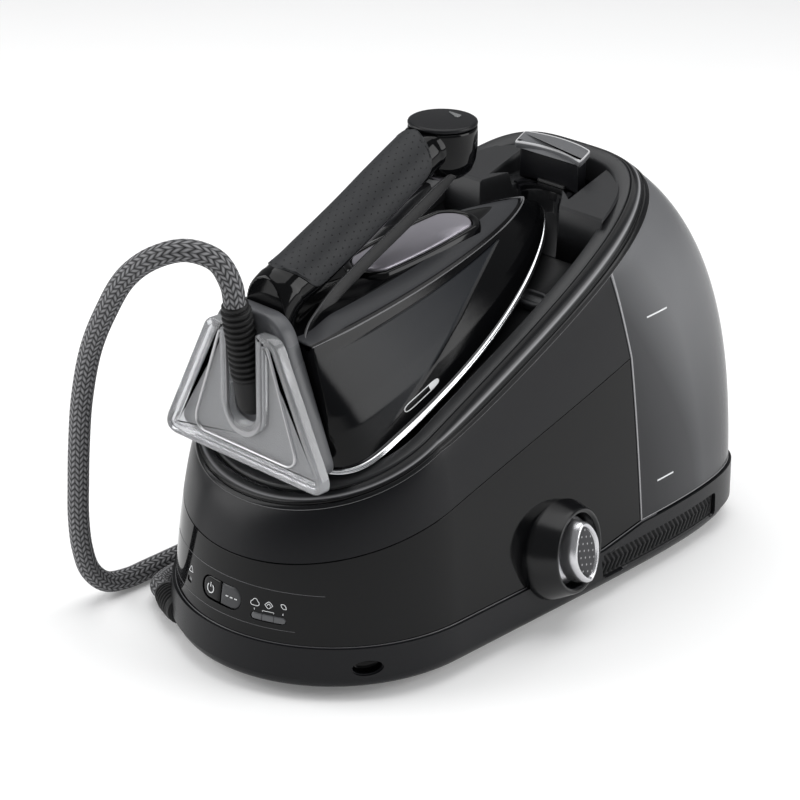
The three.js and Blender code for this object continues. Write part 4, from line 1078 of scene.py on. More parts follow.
def makeSkirt():
    # each wall line leans in from the sole's outline to the deck's; a satin facet lies a little deeper
    t = np.linspace(0, 1, skirt["rows"])[:, None]
    low = boat(iron["half"] - 1, 16, 60, iron["length"] + 1, 200)
    high = boat(iron["deckHalf"], 20, 62, iron["deckLength"], 200)
    lean = leanAt(t)
    x, s = mix(low[None, :, 0], high[None, :, 0], lean), mix(low[None, :, 1], high[None, :, 1], lean)
    h = mix(skirt["low"], iron["deckHigh"] - iron["deckFall"] * s, t)
    facetFoot = 0.10 + 0.80 * np.clip((s - 52) / 150, 0, 1) ** 1.25
    mark = smooth(0, 0.022, t - facetFoot) * smooth(0, 0.02, 0.895 - t) * smooth(20, 120, s)
    inward = np.stack([-np.sign(x) * 0.8, 0 * x, -0.35 + 0 * x], -1) * (np.abs(x) > 4)[..., None]
    points = np.stack([x, s, h], -1) + inward * mark[..., None] * 1.1
    inner = points[0] * [0.94, 0.97, 1] + [0, 3, 0]
    shape = Shape().grid(cutAtHeel(onIron(np.concatenate([inner[None], points]))), around=True, capStart=True,
                         mark=np.concatenate([mark[:1] * 0, mark]))
    top = points[-1]
    roof = np.stack([top, mix(top, top * [0, 1, 1], 0.9) - [0, 0, 0.3]])
    shape.grid(cutAtHeel(onIron(roof)), around=True, capEnd=True)
    return build("ironSkirt", shape, "iron", skirtBlack, ("iron_skirt",), weld=0.003)


def makeDeck():
    # rings inwards from the edge: a bright lip, a broad satin band that rises, then a gloss top
    rings = [(-0.9, -1.9), (-1.1, -1.0), (-0.8, -0.35), (0.0, -0.15), (0.8, -0.2), (1.4, 0.3), (1.9, 0.9),
             (4.0, 2.3),
             (7.0, 3.8), (10.0, 4.8), (12.3, 5.3), (12.9, 5.35), (13.5, 5.2), (14.1, 5.25), (20.0, 5.6),
             (27.0, 5.9)]
    outline = (iron["deckHalf"] - 0.5, 20.5, 62, iron["deckLength"] - 0.6)
    marks = [1, 1, 1, 1, 0, 0, 0.5, 0.5, 0.5, 0.5, 0.5, 0, 0, 0, 0, 0]
    rows = []
    for inset, lift in rings:
        ring = boatRing(inset, 0, *outline)
        rear = smooth(48, 70, ring[:, 1])
        rows.append(np.column_stack([ring[:, :2], iron["deckHigh"] - iron["deckFall"] * ring[:, 1]
                                     + lift * (0.25 + 0.75 * rear) * smooth(250, 190, ring[:, 1]) ** 0.5]))
    rows = np.stack(rows)
    mark = np.array(marks)[:, None] * np.ones((1, rows.shape[1]))
    shape = Shape().grid(cutAtHeel(onIron(rows)), around=True, capEnd=True, mark=mark)
    return build("ironDeck", shape, "iron", deckBlack, ("iron_deck",), weld=0.003,
                 outward=onIron((0, 120, 0)))


def ovalRing(half, length, height, count=160):
    # two half circles whose middles lie apart, with slightly bowed sides
    angle = np.linspace(0, 2 * np.pi, count, endpoint=False)
    shift = np.sign(np.sin(angle)) * np.minimum(1, np.abs(np.sin(angle)) * 2.2)
    x, s = half * np.cos(angle), half * np.sin(angle) + (length - half) * shift
    return np.stack([x, s, np.full(count, float(height))], -1)


def onDeck(points, s=153):
    # from the oval's own plane to the deck's slope, round the place s along the sole
    p = np.asarray(points, float)
    fall = math.atan(iron["deckFall"])
    return onIron(np.stack([p[..., 0], s + p[..., 1] * math.cos(fall) + p[..., 2] * math.sin(fall),
                            iron["deckHigh"] - iron["deckFall"] * s - p[..., 1] * math.sin(fall)
                            + p[..., 2] * math.cos(fall)], -1))


def makeDeckPlate():
    # a domed oval inside a gloss bezel; both are rings of superellipses
    bezel = [(19.5, 49, 1.0), (19.0, 48.3, 6.4), (18.2, 47.2, 7.6), (17.0, 45.6, 7.9), (15.7, 44.0, 7.4),
             (15.2, 43.4, 6.4), (15.0, 43.1, 4.0)]
    build("deckBezel", Shape().grid(onDeck(np.stack([ovalRing(a, b, c) for a, b, c in bezel])), around=True,
                                    capEnd=True),
          "iron", glossBlack, (), outward=onDeck((0, 0, -30)))
    plateRings = [(14.5, 42.6, 3.6), (14.5, 42.6, 7.0), (14.2, 42.3, 7.6), (13.4, 41.4, 7.9), (10.0, 34, 8.5),
                  (6, 22, 8.9), (2, 8, 9.0)]
    return build("deckPlate", Shape().grid(onDeck(np.stack([ovalRing(a, b, c) for a, b, c in plateRings])),
                                           around=True, capStart=True, capEnd=True),
                 "iron", plateMetal, ("deck_plate",))


head = dict(y=81, radius=20, top=288, cap=2.6, height=17)
handle = dict(path=[(34, 60), (41, 72), (52, 84), (78, 86.5), (120, 90), (150, 93.5), (178, 96), (198, 96)],
              radius=15.5, gripFrom=0.22, gripTo=0.9, sides=64)
handleLine = spline([(0, s, h) for s, h in handle["path"]], 200)


def handleSection(grow=0.0):
    # an oval that is fuller above than below, with its widest line under the middle
    angle = np.linspace(0, 2 * np.pi, handle["sides"], endpoint=False)
    radius = handle["radius"] + grow
    x = radius * 0.99 * np.cos(angle)
    y = radius * np.sin(angle) * np.where(np.sin(angle) > 0, 1.0, 0.92)
    return x, y


def handlePoints(grow, start=0.0, end=1.0, rows=120, swell=None):
    # the section carried along the handle's line, upright across it
    index = np.linspace(start, end, rows) * (len(handleLine) - 1)
    line = np.stack([np.interp(index, np.arange(len(handleLine)), handleLine[:, k]) for k in range(3)], -1)
    tangent = unit(np.gradient(line, axis=0))
    up = np.stack([0 * tangent[:, 0], -tangent[:, 2], tangent[:, 1]], -1)
    x, y = handleSection(grow)
    size = np.ones(rows) if swell is None else swell(np.linspace(start, end, rows))
    points = line[:, None] + up[:, None] * (y[None] * size[:, None])[..., None]
    points[..., 0] += x[None] * size[:, None]
    return points


def makeHandle():
    # the core under the grip, with a shallow seat for it; the front runs into the head
    def swell(t):
        seat = smooth(handle["gripFrom"] - 0.012, handle["gripFrom"] + 0.004, t) \
            * smooth(handle["gripTo"] + 0.012, handle["gripTo"] - 0.004, t)
        return 1 - 0.035 * seat + 0.10 * smooth(0.22, 0.0, t)
    points = onIron(handlePoints(0.0, 0.0, 1.0, 200, swell))
    low = head["top"] - 3.4
    points[..., 2] = np.where(points[..., 1] > 50, np.minimum(points[..., 2], low), points[..., 2])
    build("handleCore", capped(cutAtHeel(points)), "iron",
          glossBlack, ("handle_core",), weld=0.003)
    # the grip: the part of the same form above a line on each side, its two ends rounded
    rows, columns = 170, 90
    t = np.linspace(0, 1, rows)[:, None] * np.ones((1, columns))
    v = np.linspace(-1, 1, columns)[None, :] * np.ones((rows, 1))
    closeIn = np.clip(1 - np.abs(2 * t - 1) ** 9, 0, 1) ** 0.5
    reach = math.radians(112) * (0.30 + 0.70 * closeIn)
    angle = np.pi / 2 + v * reach
    place = mix(handle["gripFrom"], handle["gripTo"], t)
    endPull = 0.028 * np.abs(v) ** 2.2 * np.sign(t - 0.5) * smooth(0.35, 0.5, np.abs(t - 0.5))
    place = place - endPull
    index = np.clip(place, 0, 1) * (len(handleLine) - 1)
    line = np.stack([np.interp(index, np.arange(len(handleLine)), handleLine[:, k]) for k in range(3)], -1)
    slope = unit(np.gradient(handleLine, axis=0))
    tangent = np.stack([np.interp(index, np.arange(len(handleLine)), slope[:, k]) for k in range(3)], -1)
    up = np.stack([0 * tangent[..., 0], -tangent[..., 2], tangent[..., 1]], -1)
    edge = smooth(0, 0.03, 1 - np.abs(v)) * smooth(0, 0.02, 0.5 - np.abs(t - 0.5))
    radius = handle["radius"] - 0.55 + 0.75 * edge
    x = radius * 0.99 * np.cos(angle)
    y = radius * np.sin(angle) * np.where(np.sin(angle) > 0, 1.0, 0.92)
    points = line + up * y[..., None]
    points[..., 0] += x
    length = lengthOf(handleLine) * (handle["gripTo"] - handle["gripFrom"])
    uv = np.stack([angle * handle["radius"], t * length], -1)
    build("handleGrip", Shape().grid(onIron(points), uv=uv), "iron", gripDots, ("handle_grip",),
          thick=1.0, outward=onIron((0, 110, 88)), uvMap=True)
    # a strip on each side along the underside of the handle, down to the deck behind
    route = [(16.5, 186, 81), (15.4, 168, 78.0), (14.6, 140, 75.0), (14.6, 110, 72.8), (15.6, 84, 71.0),
             (19.0, 66, 69.6), (24.0, 52, 69.6), (30.5, 43, 70.6), (34.8, 38, 71.6)]
    section = rounded([(-3.6, 0), (-3.6, 1.7), (3.6, 1.7), (3.6, 0)], 0.9)
    for name, side in (("stripRight", 1), ("stripLeft", -1)):
        line = spline(route, 90)
        tangent = unit(np.gradient(line, axis=0))
        outside = unit(np.stack([np.ones(90), 0 * line[:, 0], 0.3 * np.ones(90)], -1))
        outside = unit(outside - tangent * (outside * tangent).sum(-1, keepdims=True))
        wide = unit(np.cross(tangent, outside))
        taper = np.interp(np.linspace(0, 1, 90), [0, 0.1, 0.85, 1], [0.55, 1, 1, 0.35])
        points = (line[:, None] + wide[:, None] * (section[None, :, 0] * taper[:, None])[..., None]
                  + outside[:, None] * (section[None, :, 1] - 2.2)[..., None])
        points[..., 0] *= side
        lit = np.abs(section[:, 0]) > 3.2
        build(name, capped(cutAtHeel(onIron(points)), mark=lit[None, :] * 0.62 + 0.3),
              "iron", stripBlack, ())


def makeHead():
    # a drum that flows down into the handle's front, with a thin groove under its cap
    low = head["top"] - head["cap"] - 0.3 - head["height"]
    profile = [(6, low - 14), (13, low - 12.5), (17, low - 9), (19.2, low - 3), (20, low + 4),
               (20.05, low + 10), (20, low + 15.4), (19.7, low + 16.3), (19.2, low + 16.7), (10, low + 16.8)]
    build("handleHead", turnedShape(rounded(profile, 1.2), 96, (0, head["y"], 0)), "iron", glossBlack,
          ("handle_head",))
    z = head["top"]
    lid = [(18.6, z - 2.7), (19.5, z - 2.6), (19.9, z - 2.2), (20.0, z - 1.4), (19.7, z - 0.7),
           (19.0, z - 0.25), (18.2, z - 0.05), (17.0, z), (14.0, z + 0.15), (8, z + 0.4), (2, z + 0.5)]
    build("headCap", turnedShape(lid, 96, (0, head["y"], 0)), "iron", satinBlack,
          ("head_cap",))
    window = rounded([(-4.7, -2.1), (4.7, -2.1), (4.7, 2.1), (-4.7, 2.1), (-4.7, -2.1)], 0.5, 3)[1:-1]
    rings = [(1.0, -0.6), (1.0, 0.42), (0.96, 0.62), (0.85, 0.66)]
    rows = np.stack([np.column_stack([window[:, 0] * k, head["y"] + 8.5 + window[:, 1] * k,
                                      np.full(len(window), z + 0.35 + lift)]) for k, lift in rings])
    build("headLight", capped(rows), "iron", tintedGrey,
          ("head_light",))


def makeTrigger():
    # a curved key under the handle: its side outline carried across with rounded edges
    side = spline([(0, 132, 78.6), (0, 140, 74.4), (0, 152, 71.8), (0, 164, 72.3), (0, 171.6, 74.6)], 40)
    back = np.array([(0, 173.6, 77.0), (0, 173.6, 79.6), (0, 160, 81.4), (0, 145, 82.6), (0, 135, 83.2),
                     (0, 132, 82.4)])
    outline = np.concatenate([side, back])
    centre = outline.mean(0)
    rows = []
    for x, inset in ((-8, 1.3), (-7.8, 0.6), (-7.3, 0.15), (-6.5, 0), (-3, -0.15), (0, -0.2), (3, -0.15),
                     (6.5, 0), (7.3, 0.15), (7.8, 0.6), (8, 1.3)):
        ring = outline + unit(centre - outline) * inset
        rows.append(ring * [0, 1, 1] + [x, 0, 0])
    return build("steamTrigger", capped(onIron(np.stack(rows))), "steam_trigger",
                 satinGrey, ("steam_trigger",), weld=0.003)


heel = dict(halfLow=67, halfHigh=26.5, low=126, high=207, slot=12, slotLow=150)


def roundedLoop(corners, radii, steps=10):
    # a closed outline with an arc at each corner, as a cubic curve between its two tangent points
    corners = np.asarray(corners, float)
    out = []
    for i, radius in enumerate(radii):
        a, b, c = corners[i - 1], corners[i], corners[(i + 1) % len(corners)]
        r = min(radius, np.linalg.norm(a - b) * 0.48, np.linalg.norm(c - b) * 0.48)
        start, end = b + unit(a - b) * r, b + unit(c - b) * r
        t = np.linspace(0, 1, steps + 1)[:, None]
        out.append((1 - t) ** 3 * start + 3 * t * (1 - t) ** 2 * mix(start, b, 0.6)
                   + 3 * t ** 2 * (1 - t) * mix(end, b, 0.6) + t ** 3 * end)
    return np.concatenate(out)


def closedResample(loop, count):
    # a closed outline again as count points at equal distances
    line = np.concatenate([loop, loop[:1]])
    flat3 = np.column_stack([line, np.zeros(len(line))])
    return resample(flat3, count + 1)[:-1, :2]


def insetLoop(loop, distance):
    # every point moved along the outline's inward normal; the loop runs anticlockwise
    tangent = unit(np.roll(loop, -1, 0) - np.roll(loop, 1, 0))
    return loop + np.stack([-tangent[:, 1], tangent[:, 0]], -1) * np.asarray(distance)


def upright(loop, y):
    # an outline in (x, z) stood up at one y
    return np.column_stack([loop[:, 0], np.full(len(loop), float(y)), loop[:, 1]])


def heelCorners(grow):
    # the heel's outline with the slot for the boot open at its top
    a, b = heel["halfLow"] + grow, heel["halfHigh"] + grow
    w = heel["slot"] - grow
    return [(-a, heel["low"] - grow), (a, heel["low"] - grow), (b, heel["high"]), (w, heel["high"]),
            (w, heel["slotLow"] - grow), (-w, heel["slotLow"] - grow), (-w, heel["high"]), (-b, heel["high"])]


def makeHeel():
    # a clear plate with stepped rims: insets of one outline at growing heights, then flat faces
    loop = closedResample(roundedLoop(heelCorners(0), (13, 13, 6, 1.5, 11.9, 11.9, 1.5, 6)), 420)
    rim = [(0.0, -70.4), (0.0, -75.6), (0.2, -76.4), (0.6, -76.8), (1.0, -77.0), (3.4, -77.0), (3.7, -76.7),
           (3.9, -76.1), (4.1, -76.0), (5.6, -76.0), (5.9, -75.7), (6.1, -74.3), (6.6, -74.0)]
    rows = np.stack([upright(insetLoop(loop, i), y) for i, y in rim])
    build("heelPlate", slab(rows), "iron", clearPlastic, ("heel_plate",))
    # inside it a smaller raised frame, seen through the clear plate as a second outline
    small = [(-43, 134.5), (43, 134.5), (19, 200), (15.5, 200), (15.5, 146), (-15.5, 146), (-15.5, 200),
             (-19, 200)]
    inner = closedResample(roundedLoop(small, (12, 12, 2, 1.5, 13, 13, 1.5, 2)), 360)
    rows = np.stack([upright(insetLoop(inner, i), y) for i, y in
                     ((-0.9, -74.1), (-0.7, -75.0), (0, -75.4), (0.7, -75.0), (0.9, -74.1))])
    build("heelInner", Shape().grid(rows, around=True), "iron", edgeSilver, (),
          outward=(0, 0, 160))
    # the channel round the boot
    bend = np.linspace(np.pi, 2 * np.pi, 30)
    channel = [(-13.6, 0, 206), (-13.6, 0, 190), (-13.6, 0, 175)] \
        + [(13.6 * math.cos(a), 0, 158 + 13.6 * math.sin(a)) for a in bend] \
        + [(13.6, 0, 175), (13.6, 0, 190), (13.6, 0, 206)]
    line = resample(np.array(channel, float), 120)
    tangent = unit(np.gradient(line, axis=0))
    out = np.stack([tangent[:, 2], 0 * tangent[:, 0], -tangent[:, 0]], -1)
    section = rounded([(-1.8, 0.2), (-1.8, 2.6), (1.8, 2.6), (1.8, 0.2)], 0.9)
    points = (line[:, None] + out[:, None] * section[None, :, 0, None]
              + np.array([0, -1.0, 0]) * section[None, :, 1, None] + [0, -74.2, 0])
    build("heelChannel", capped(points), "iron", channelGrey,
          (), bevel=0.3, bevelAngle=60)


def makeHeelFrame():
    # a grey frame behind the clear plate: one outline carried forward, its front edge rounded
    loop = closedResample(roundedLoop([(-58, 131), (58, 131), (22, 216), (-22, 216)], (11, 11, 12, 12)), 260)
    rows = [(4.0, -69.7), (1.6, -69.6), (0.5, -69.2), (0, -68.2), (0, -60.4), (0.5, -59.2), (1.6, -58.4),
            (3.5, -58.0)]
    shape = Shape().grid(np.stack([upright(insetLoop(loop, i), y) for i, y in rows]), around=True)
    shape.lid(upright(insetLoop(loop, 4.0), -69.7), turned=True)
    shape.lid(upright(insetLoop(loop, 3.5), -58.0))
    return build("heelFrame", shape, "iron", paleGrey, ("heel_frame",))


def makeBoot():
    # a turned sleeve: smooth below, then ribs whose radius follows a clipped sine
    length = np.linalg.norm(bootHigh - bootLow)
    z = np.linspace(0, length, 360)
    base0 = np.interp(z, [0, 2, 4, 22, length], [7.4, 8.4, 9.0, 9.0, 8.0])
    ribs = np.clip(np.sin(z / 3.6 * 2 * np.pi) * 1.8, -1, 1) * 0.85
    r = base0 + ribs * smooth(20, 23, z) * smooth(length - 1, length - 3, z) - 0.5 * smooth(20, 23, z)
    return build("hoseBoot", turnedShape(np.column_stack([r, z]), 72, bootLow, bootAxis), "iron", rubberBlack,
                 ("hose_boot",))


makeSoleplate()
makeSkirt()
makeDeck()
makeDeckPlate()
makeHandle()
makeHead()
makeTrigger()
makeHeel()
makeHeelFrame()
makeBoot()
print("iron done")

# ---- the rest for the iron, its lock and the pads
noseY = iron["heelY"] + iron["length"] * math.cos(iron["tilt"])
noseZ = iron["heelZ"] + iron["length"] * math.sin(iron["tilt"])
tray = dict(topInset=5.6, floorInset=13.6, depth=9, fillet=6, drop=4.6)
shelf = dict(front=noseY - 19.4, top=noseZ + 16.4, slope=0.3, bendY=116, pocketIn=51, pocketOut=80,
             pocketHalf=31, pocketZ=noseZ + 13, slotHalf=19, slotZ=noseZ + 9.6)


def trayFloor(y):
    # the height of the tilted floor at y
    return iron["heelZ"] + math.tan(iron["tilt"]) * (y - iron["heelY"]) - tray["depth"]


def rimRing(inset, count=420):
    # the rim's outline drawn in by inset
    s = np.linspace(-0.5, 0.5, count, endpoint=False)
    x, y = planPoint(angleOf(s), rim, -inset)
    return np.where(s < 0, -x, x), y


def makeTray():
    # rings inside the rim: a wall with one ledge, a round foot, and a floor parallel to the sole
    rows = []
    for t in np.linspace(0, 1, 26):
        x, y = rimRing(mix(tray["topInset"], tray["floorInset"] - tray["fillet"] * 0.4, t) + 0.9 * (t > 0.33))
        top = rim["height"] + rim["slope"] * y - tray["drop"]
        rows.append(np.stack([x, y, mix(top, trayFloor(y) + tray["fillet"], t)], -1))
    for turn in np.linspace(0.2, np.pi / 2, 7):
        x, y = rimRing(tray["floorInset"] + tray["fillet"] * (0.6 - np.cos(turn)) + 0.9)
        rows.append(np.stack([x, y, trayFloor(y) + tray["fillet"] * (1 - np.sin(turn))], -1))
    edge = rows[-1]
    spine = np.stack([0 * edge[:, 0], np.clip(edge[:, 1], -30, 150)], -1)
    for t, lift in ((0.06, 0), (0.10, 0), (0.115, 0.7), (0.13, 0.7), (0.145, 0), (0.3, 0), (0.6, 0), (1, 0)):
        place = mix(edge[:, :2], spine, t)
        rows.append(np.column_stack([place, trayFloor(place[:, 1]) + lift]))
    return build("ironTray", Shape().grid(np.stack(rows), around=True), "root", matteBlack,
                 ("iron_tray",), thick=1.0, outward=(0, 60, -300))


def noseNotch(x, y):
    # distance outside the iron's nose outline in plan, widened; negative inside the notch
    s = (y - iron["heelY"]) / math.cos(iron["tilt"])
    return np.abs(x) - np.where(s < 267, halfWidthAt(np.minimum(s, 266.9), iron["half"] + 9, 16, 60, 267),
                                -40)


def makeShelf():
    # a height field inside the rim: the notch for the nose, the claw's slot and an arched pocket are let in
    rows, columns = 150, 300
    v = np.linspace(0, 1, rows)[:, None] * np.ones((1, columns))
    u = np.linspace(-1, 1, columns)[None, :] * np.ones((rows, 1))
    ringX, ringY = rimRing(7.5, 1600)
    right = (ringX >= 0) & (ringY > 60)
    order = np.argsort(ringX[right])
    rearY = lambda x: np.interp(np.abs(x), ringX[right][order], ringY[right][order])
    order2 = np.argsort(ringY[right])
    wide = np.interp(shelf["front"], ringY[right][order2], ringX[right][order2])
    x = u * wide
    y = mix(shelf["front"], rearY(x), v)
    z = shelf["top"] + shelf["slope"] * (y - shelf["front"])
    z = z - 1.1 * smooth(1.6, 0, y - shelf["front"]) - 1.2 * smooth(2.2, 0.2, rearY(x) - y)
    radius = np.hypot(x, y - shelf["bendY"])
    pocket = np.maximum.reduce([shelf["pocketIn"] - radius, radius - shelf["pocketOut"],
                                np.abs(x) - shelf["pocketHalf"]])
    slot = np.maximum(np.abs(x) - shelf["slotHalf"], np.maximum(140 - y, radius - shelf["pocketOut"]))
    notch = noseNotch(x, y)
    z = np.minimum(z, mix(shelf["pocketZ"], z, smooth(-0.9, 0.3, pocket)))
    z = np.minimum(z, mix(shelf["slotZ"], z, smooth(-0.9, 0.3, slot)))
    z = np.minimum(z, mix(trayFloor(y) + 0.5, z, smooth(-0.8, 0.5, notch)))
    top = np.stack([x, y, z], -1)
    front = np.stack([np.stack([x[0], y[0] - 0.25, np.minimum(z[0], trayFloor(y[0]) + 0.3)], -1), top[0]])
    shape = Shape().grid(top)
    shape.grid(front)
    return build("lockHousing", shape, "root", shelfBlack, ("lock_housing",), weld=0.003,
                 thick=0.8, outward=(0, 180, -200))


lever = dict(bend=70, breadth=9, half=26, low=noseZ + 33.4, rear=noseY + 18.6)


def arcLoop(inner, outer, half, count=64, corner=3.6):
    # the plan outline of a bent bar with rounded ends, anticlockwise seen from above
    centre = np.array([0, lever["rear"] - lever["bend"]])
    a, b = math.asin(half / inner), math.asin(half / outer)
    outerArc = [centre + outer * np.array([math.sin(t), math.cos(t)]) for t in np.linspace(b, -b, count)]
    innerArc = [centre + inner * np.array([math.sin(t), math.cos(t)]) for t in np.linspace(-a, a, count)]
    corners = outerArc + innerArc
    radii = [0.3] * len(corners)
    loop = roundedLoop(corners, radii, 1)
    line = closedResample(loop, 300)
    for _ in range(10):
        ends = smooth(half - corner * 1.3, half - corner * 0.3, np.abs(line[:, 0]))[:, None]
        line = mix(line, (np.roll(line, 1, 0) + np.roll(line, -1, 0)) / 2, 0.9 * ends)
    return line


def level(loop, z):
    # an outline in (x, y) laid at height z
    return np.column_stack([loop, np.full(len(loop), float(z))])


def makeLever():
    # a bent finger bar with a bright edge line, on a narrower black stem that reaches down to the claw
    loop = arcLoop(lever["bend"] - lever["breadth"], lever["bend"], lever["half"])
    z = lever["low"]
    rings = [(1.2, 1.5, 0), (0.3, 1.8, 0), (0, 2.2, 0), (0, 4.7, 0), (0.1, 5.1, 1), (0.35, 5.5, 1),
             (0.75, 5.65, 1), (0.9, 5.6, 1), (1.0, 5.35, 0), (1.3, 5.3, 0), (1.8, 5.4, 0), (2.2, 5.45, 0)]
    rows = np.stack([level(insetLoop(loop, i), z + h) for i, h, _ in rings])
    # the face leans towards the front: each point rises with its distance from the bar's middle line
    fromAxis = np.hypot(rows[..., 0], rows[..., 1] - lever["rear"] + lever["bend"])
    rows[..., 2] += 0.55 * (fromAxis - lever["bend"] + lever["breadth"] / 2)
    marks = np.array([m for _, _, m in rings])[:, None] * np.ones((1, len(loop)))
    build("lockLever", slab(rows, marks), "lock", leverGrey, ("lock_lever",))
    stem = arcLoop(lever["bend"] - lever["breadth"] + 1, lever["bend"] - 1.2, lever["half"] - 2.5)
    rows = np.stack([level(insetLoop(stem, i), z + h) for i,
                     h in ((1.0, -19), (0.3, -18.6), (0, -18), (0, -0.05))])
    build("leverStem", slab(rows), "lock", satinBlack, ())


def makeClaw():
    # a collar bent round the nose: one stepped section carried round an arc and closed at both ends
    centre = np.array([0, noseY - 3.2])
    low = noseZ + 3.4
    section = rounded([(14.6, low), (14.6, low + 5.5), (15.4, low + 6.2), (15.4, low + 9.2),
                       (17.6, low + 9.2),
                       (18.0, low + 10.9), (21.2, low + 10.9), (21.6, low + 10.2), (21.6, low)], 0.5, 3)
    angle = np.radians(np.linspace(8, 172, 90))
    rows = np.stack([np.column_stack([centre[0] + section[:, 0] * math.cos(a),
                                      centre[1] + section[:, 0] * math.sin(a),
                                      section[:, 1]]) for a in angle])
    shape = Shape().grid(rows, around=True)
    shape.lid(rows[0], turned=True)
    shape.lid(rows[-1])
    build("lockClaw", shape, "lock", satinBlack, ("lock_claw",), bevel=0.25, bevelAngle=60)
    # a flat link from the collar back to the lever's stem
    link = np.array([(-11, 176), (11, 176), (11, 186), (-11, 186)], float)
    loop = closedResample(roundedLoop(link, (1, 1, 1, 1)), 80)
    rings = [(0.4, 10.3), (0, 10.7), (0, 15.6), (0.5, 16.2), (1.2, 16.3)]
    rows = np.stack([level(insetLoop(loop, i), noseZ + h) for i, h in rings])
    build("clawLink", slab(rows), "lock", matteBlack, ())


def makePads():
    # two rubber pads on the floor: a rounded outline with a raised edge and a shallow middle
    y0 = 112
    c, n = math.cos(iron["tilt"]), math.sin(iron["tilt"])
    for name, side in (("padLeft", -1), ("padRight", 1)):
        loop = closedResample(roundedLoop([(-10, -6.2), (10, -6.2), (10, 6.2), (-10, 6.2)], (6, 6, 6, 6)),
                              120)
        rings = [(0, 0), (0, 3.6), (0.3, 4.4), (1.0, 4.8), (1.9, 4.8), (2.4, 4.3), (2.7, 3.2), (3.2, 2.9),
                 (4.4, 2.9), (4.8, 3.2)]
        rows = []
        for inset, h in rings:
            flatLoop = insetLoop(loop, inset)
            u, v = flatLoop[:, 0], flatLoop[:, 1]
            rows.append(np.stack([side * 45 + u, y0 + v * c - h * n, trayFloor(y0) + 0.3 + v * n + h * c],
                                 -1))
        rows = np.stack(rows)
        shape = slab(rows)
        build(name, shape, "root", padGrey, (f"rest_pad_{name[3:].lower()}",))


makeTray()
makeShelf()
makeLever()
makeClaw()
makePads()
print("rest and lock done")


# ---- buttons, lights, icons and fine lines in the front
def onSkin(loop, lift):
    # a flat outline in (x, z) laid on the front of the casing and lifted along its normal
    s = shareAtX(loop[:, 0], loop[:, 1])
    return raised(s, loop[:, 1], np.broadcast_to(lift, len(loop)))


def pillow(name, loop, rings, body, look, stands, shrink=(0.6, 0.3, 0.1)):
    # a key on the skin: insets of its outline at stated heights, then rings that close to its middle
    rows = [onSkin(insetLoop(loop, i), h) for i, h in rings]
    last, middle = insetLoop(loop, rings[-1][0]), loop.mean(0)
    rows += [onSkin(mix(middle, last, k), rings[-1][1]) for k in shrink]
    return build(name, capped(np.stack(rows)), body, look,
                 stands)


def makeKeys():
    # the two halves of a pill as keys, a rounded bar in three parts, and a small square lens
    h, z, end = panel["halfHeight"], panel["height"], panel["halfLength"]
    left = np.array([(-end, z - h), (-0.35, z - h), (-0.35, z + h), (-end, z + h)])
    loop = closedResample(roundedLoop(left, (h * 0.98, 0.6, 0.6, h * 0.98)), 120)
    rings = [(0.2, -3.2), (0.1, -1.1), (0.35, -0.65), (0.9, -0.4), (2.0, -0.3)]
    pillow("powerButton", loop, rings, "power_button", glossBlack, ("power_button",))
    loop = closedResample(roundedLoop(left[::-1] * [-1, 1], (h * 0.98, 0.6, 0.6, h * 0.98)), 120)
    pillow("modeButton", loop, rings, "mode_button", modeGrey, ("mode_button",))
    x, zb, hx, hz = panel["barX"], panel["barZ"], panel["barHalf"], panel["barHalfZ"]
    corners = np.array([(x - hx, zb - hz), (x + hx, zb - hz), (x + hx, zb + hz), (x - hx, zb + hz)])
    loop = closedResample(roundedLoop(corners, (hz,) * 4), 120)
    pillow("lightBar", loop, [(0.05, -2), (0.1, -0.4), (0.4, -0.1), (0.8, 0.0)], "root", barGrey,
           ("light_bar",))
    for k, at in enumerate((-3.4, 3.4)):
        stroke(f"barMark{k}", [(x + at, zb - hz * 0.9), (x + at, zb + hz * 0.9)], 0.35, 0.08, "root",
               matteBlack)
    x, zb, hx = panel["ledX"], panel["ledZ"], panel["ledHalf"]
    corners = np.array([(x - hx, zb - 1.5), (x + hx, zb - 1.5), (x + hx, zb + 1.5), (x - hx, zb + 1.5)])
    loop = closedResample(roundedLoop(corners, (0.6,) * 4), 80)
    pillow("readyLens", loop, [(0.05, -2), (0.1, -0.9), (0.4, -0.8)], "root", tintedGrey,
           ("ready_lens",))


def stroke(name, points, width, lift, body, look, closed=False):
    # a flat ribbon of one width along a line of (x, z) points, laid on the skin with a rounded crown
    line = np.asarray(points, float)
    if closed:
        line = np.concatenate([line, line[:1]])
    line = resample(np.column_stack([line, np.zeros(len(line))]), max(8, len(line) * 3))[:, :2]
    tangent = np.gradient(line, axis=0)
    if closed:
        tangent[0] = tangent[-1] = line[1] - line[-2]
    tangent = unit(tangent)
    across = np.stack([-tangent[:, 1], tangent[:, 0]], -1)
    rows = [onSkin(line + across * width * k, lift * up) for k, up in
            ((-0.5, -1.0), (-0.46, 0.75), (-0.2, 1.0), (0.2, 1.0), (0.46, 0.75), (0.5, -1.0))]
    return build(name, Shape().grid(np.stack(rows)), body, look, (), outward=inside)


def ringOf(x, z, radius, start=0, stop=360, count=40):
    # an arc of (x, z) points round a middle
    a = np.radians(np.linspace(start, stop, count))
    return np.stack([x + radius * np.cos(a), z + radius * np.sin(a)], -1)


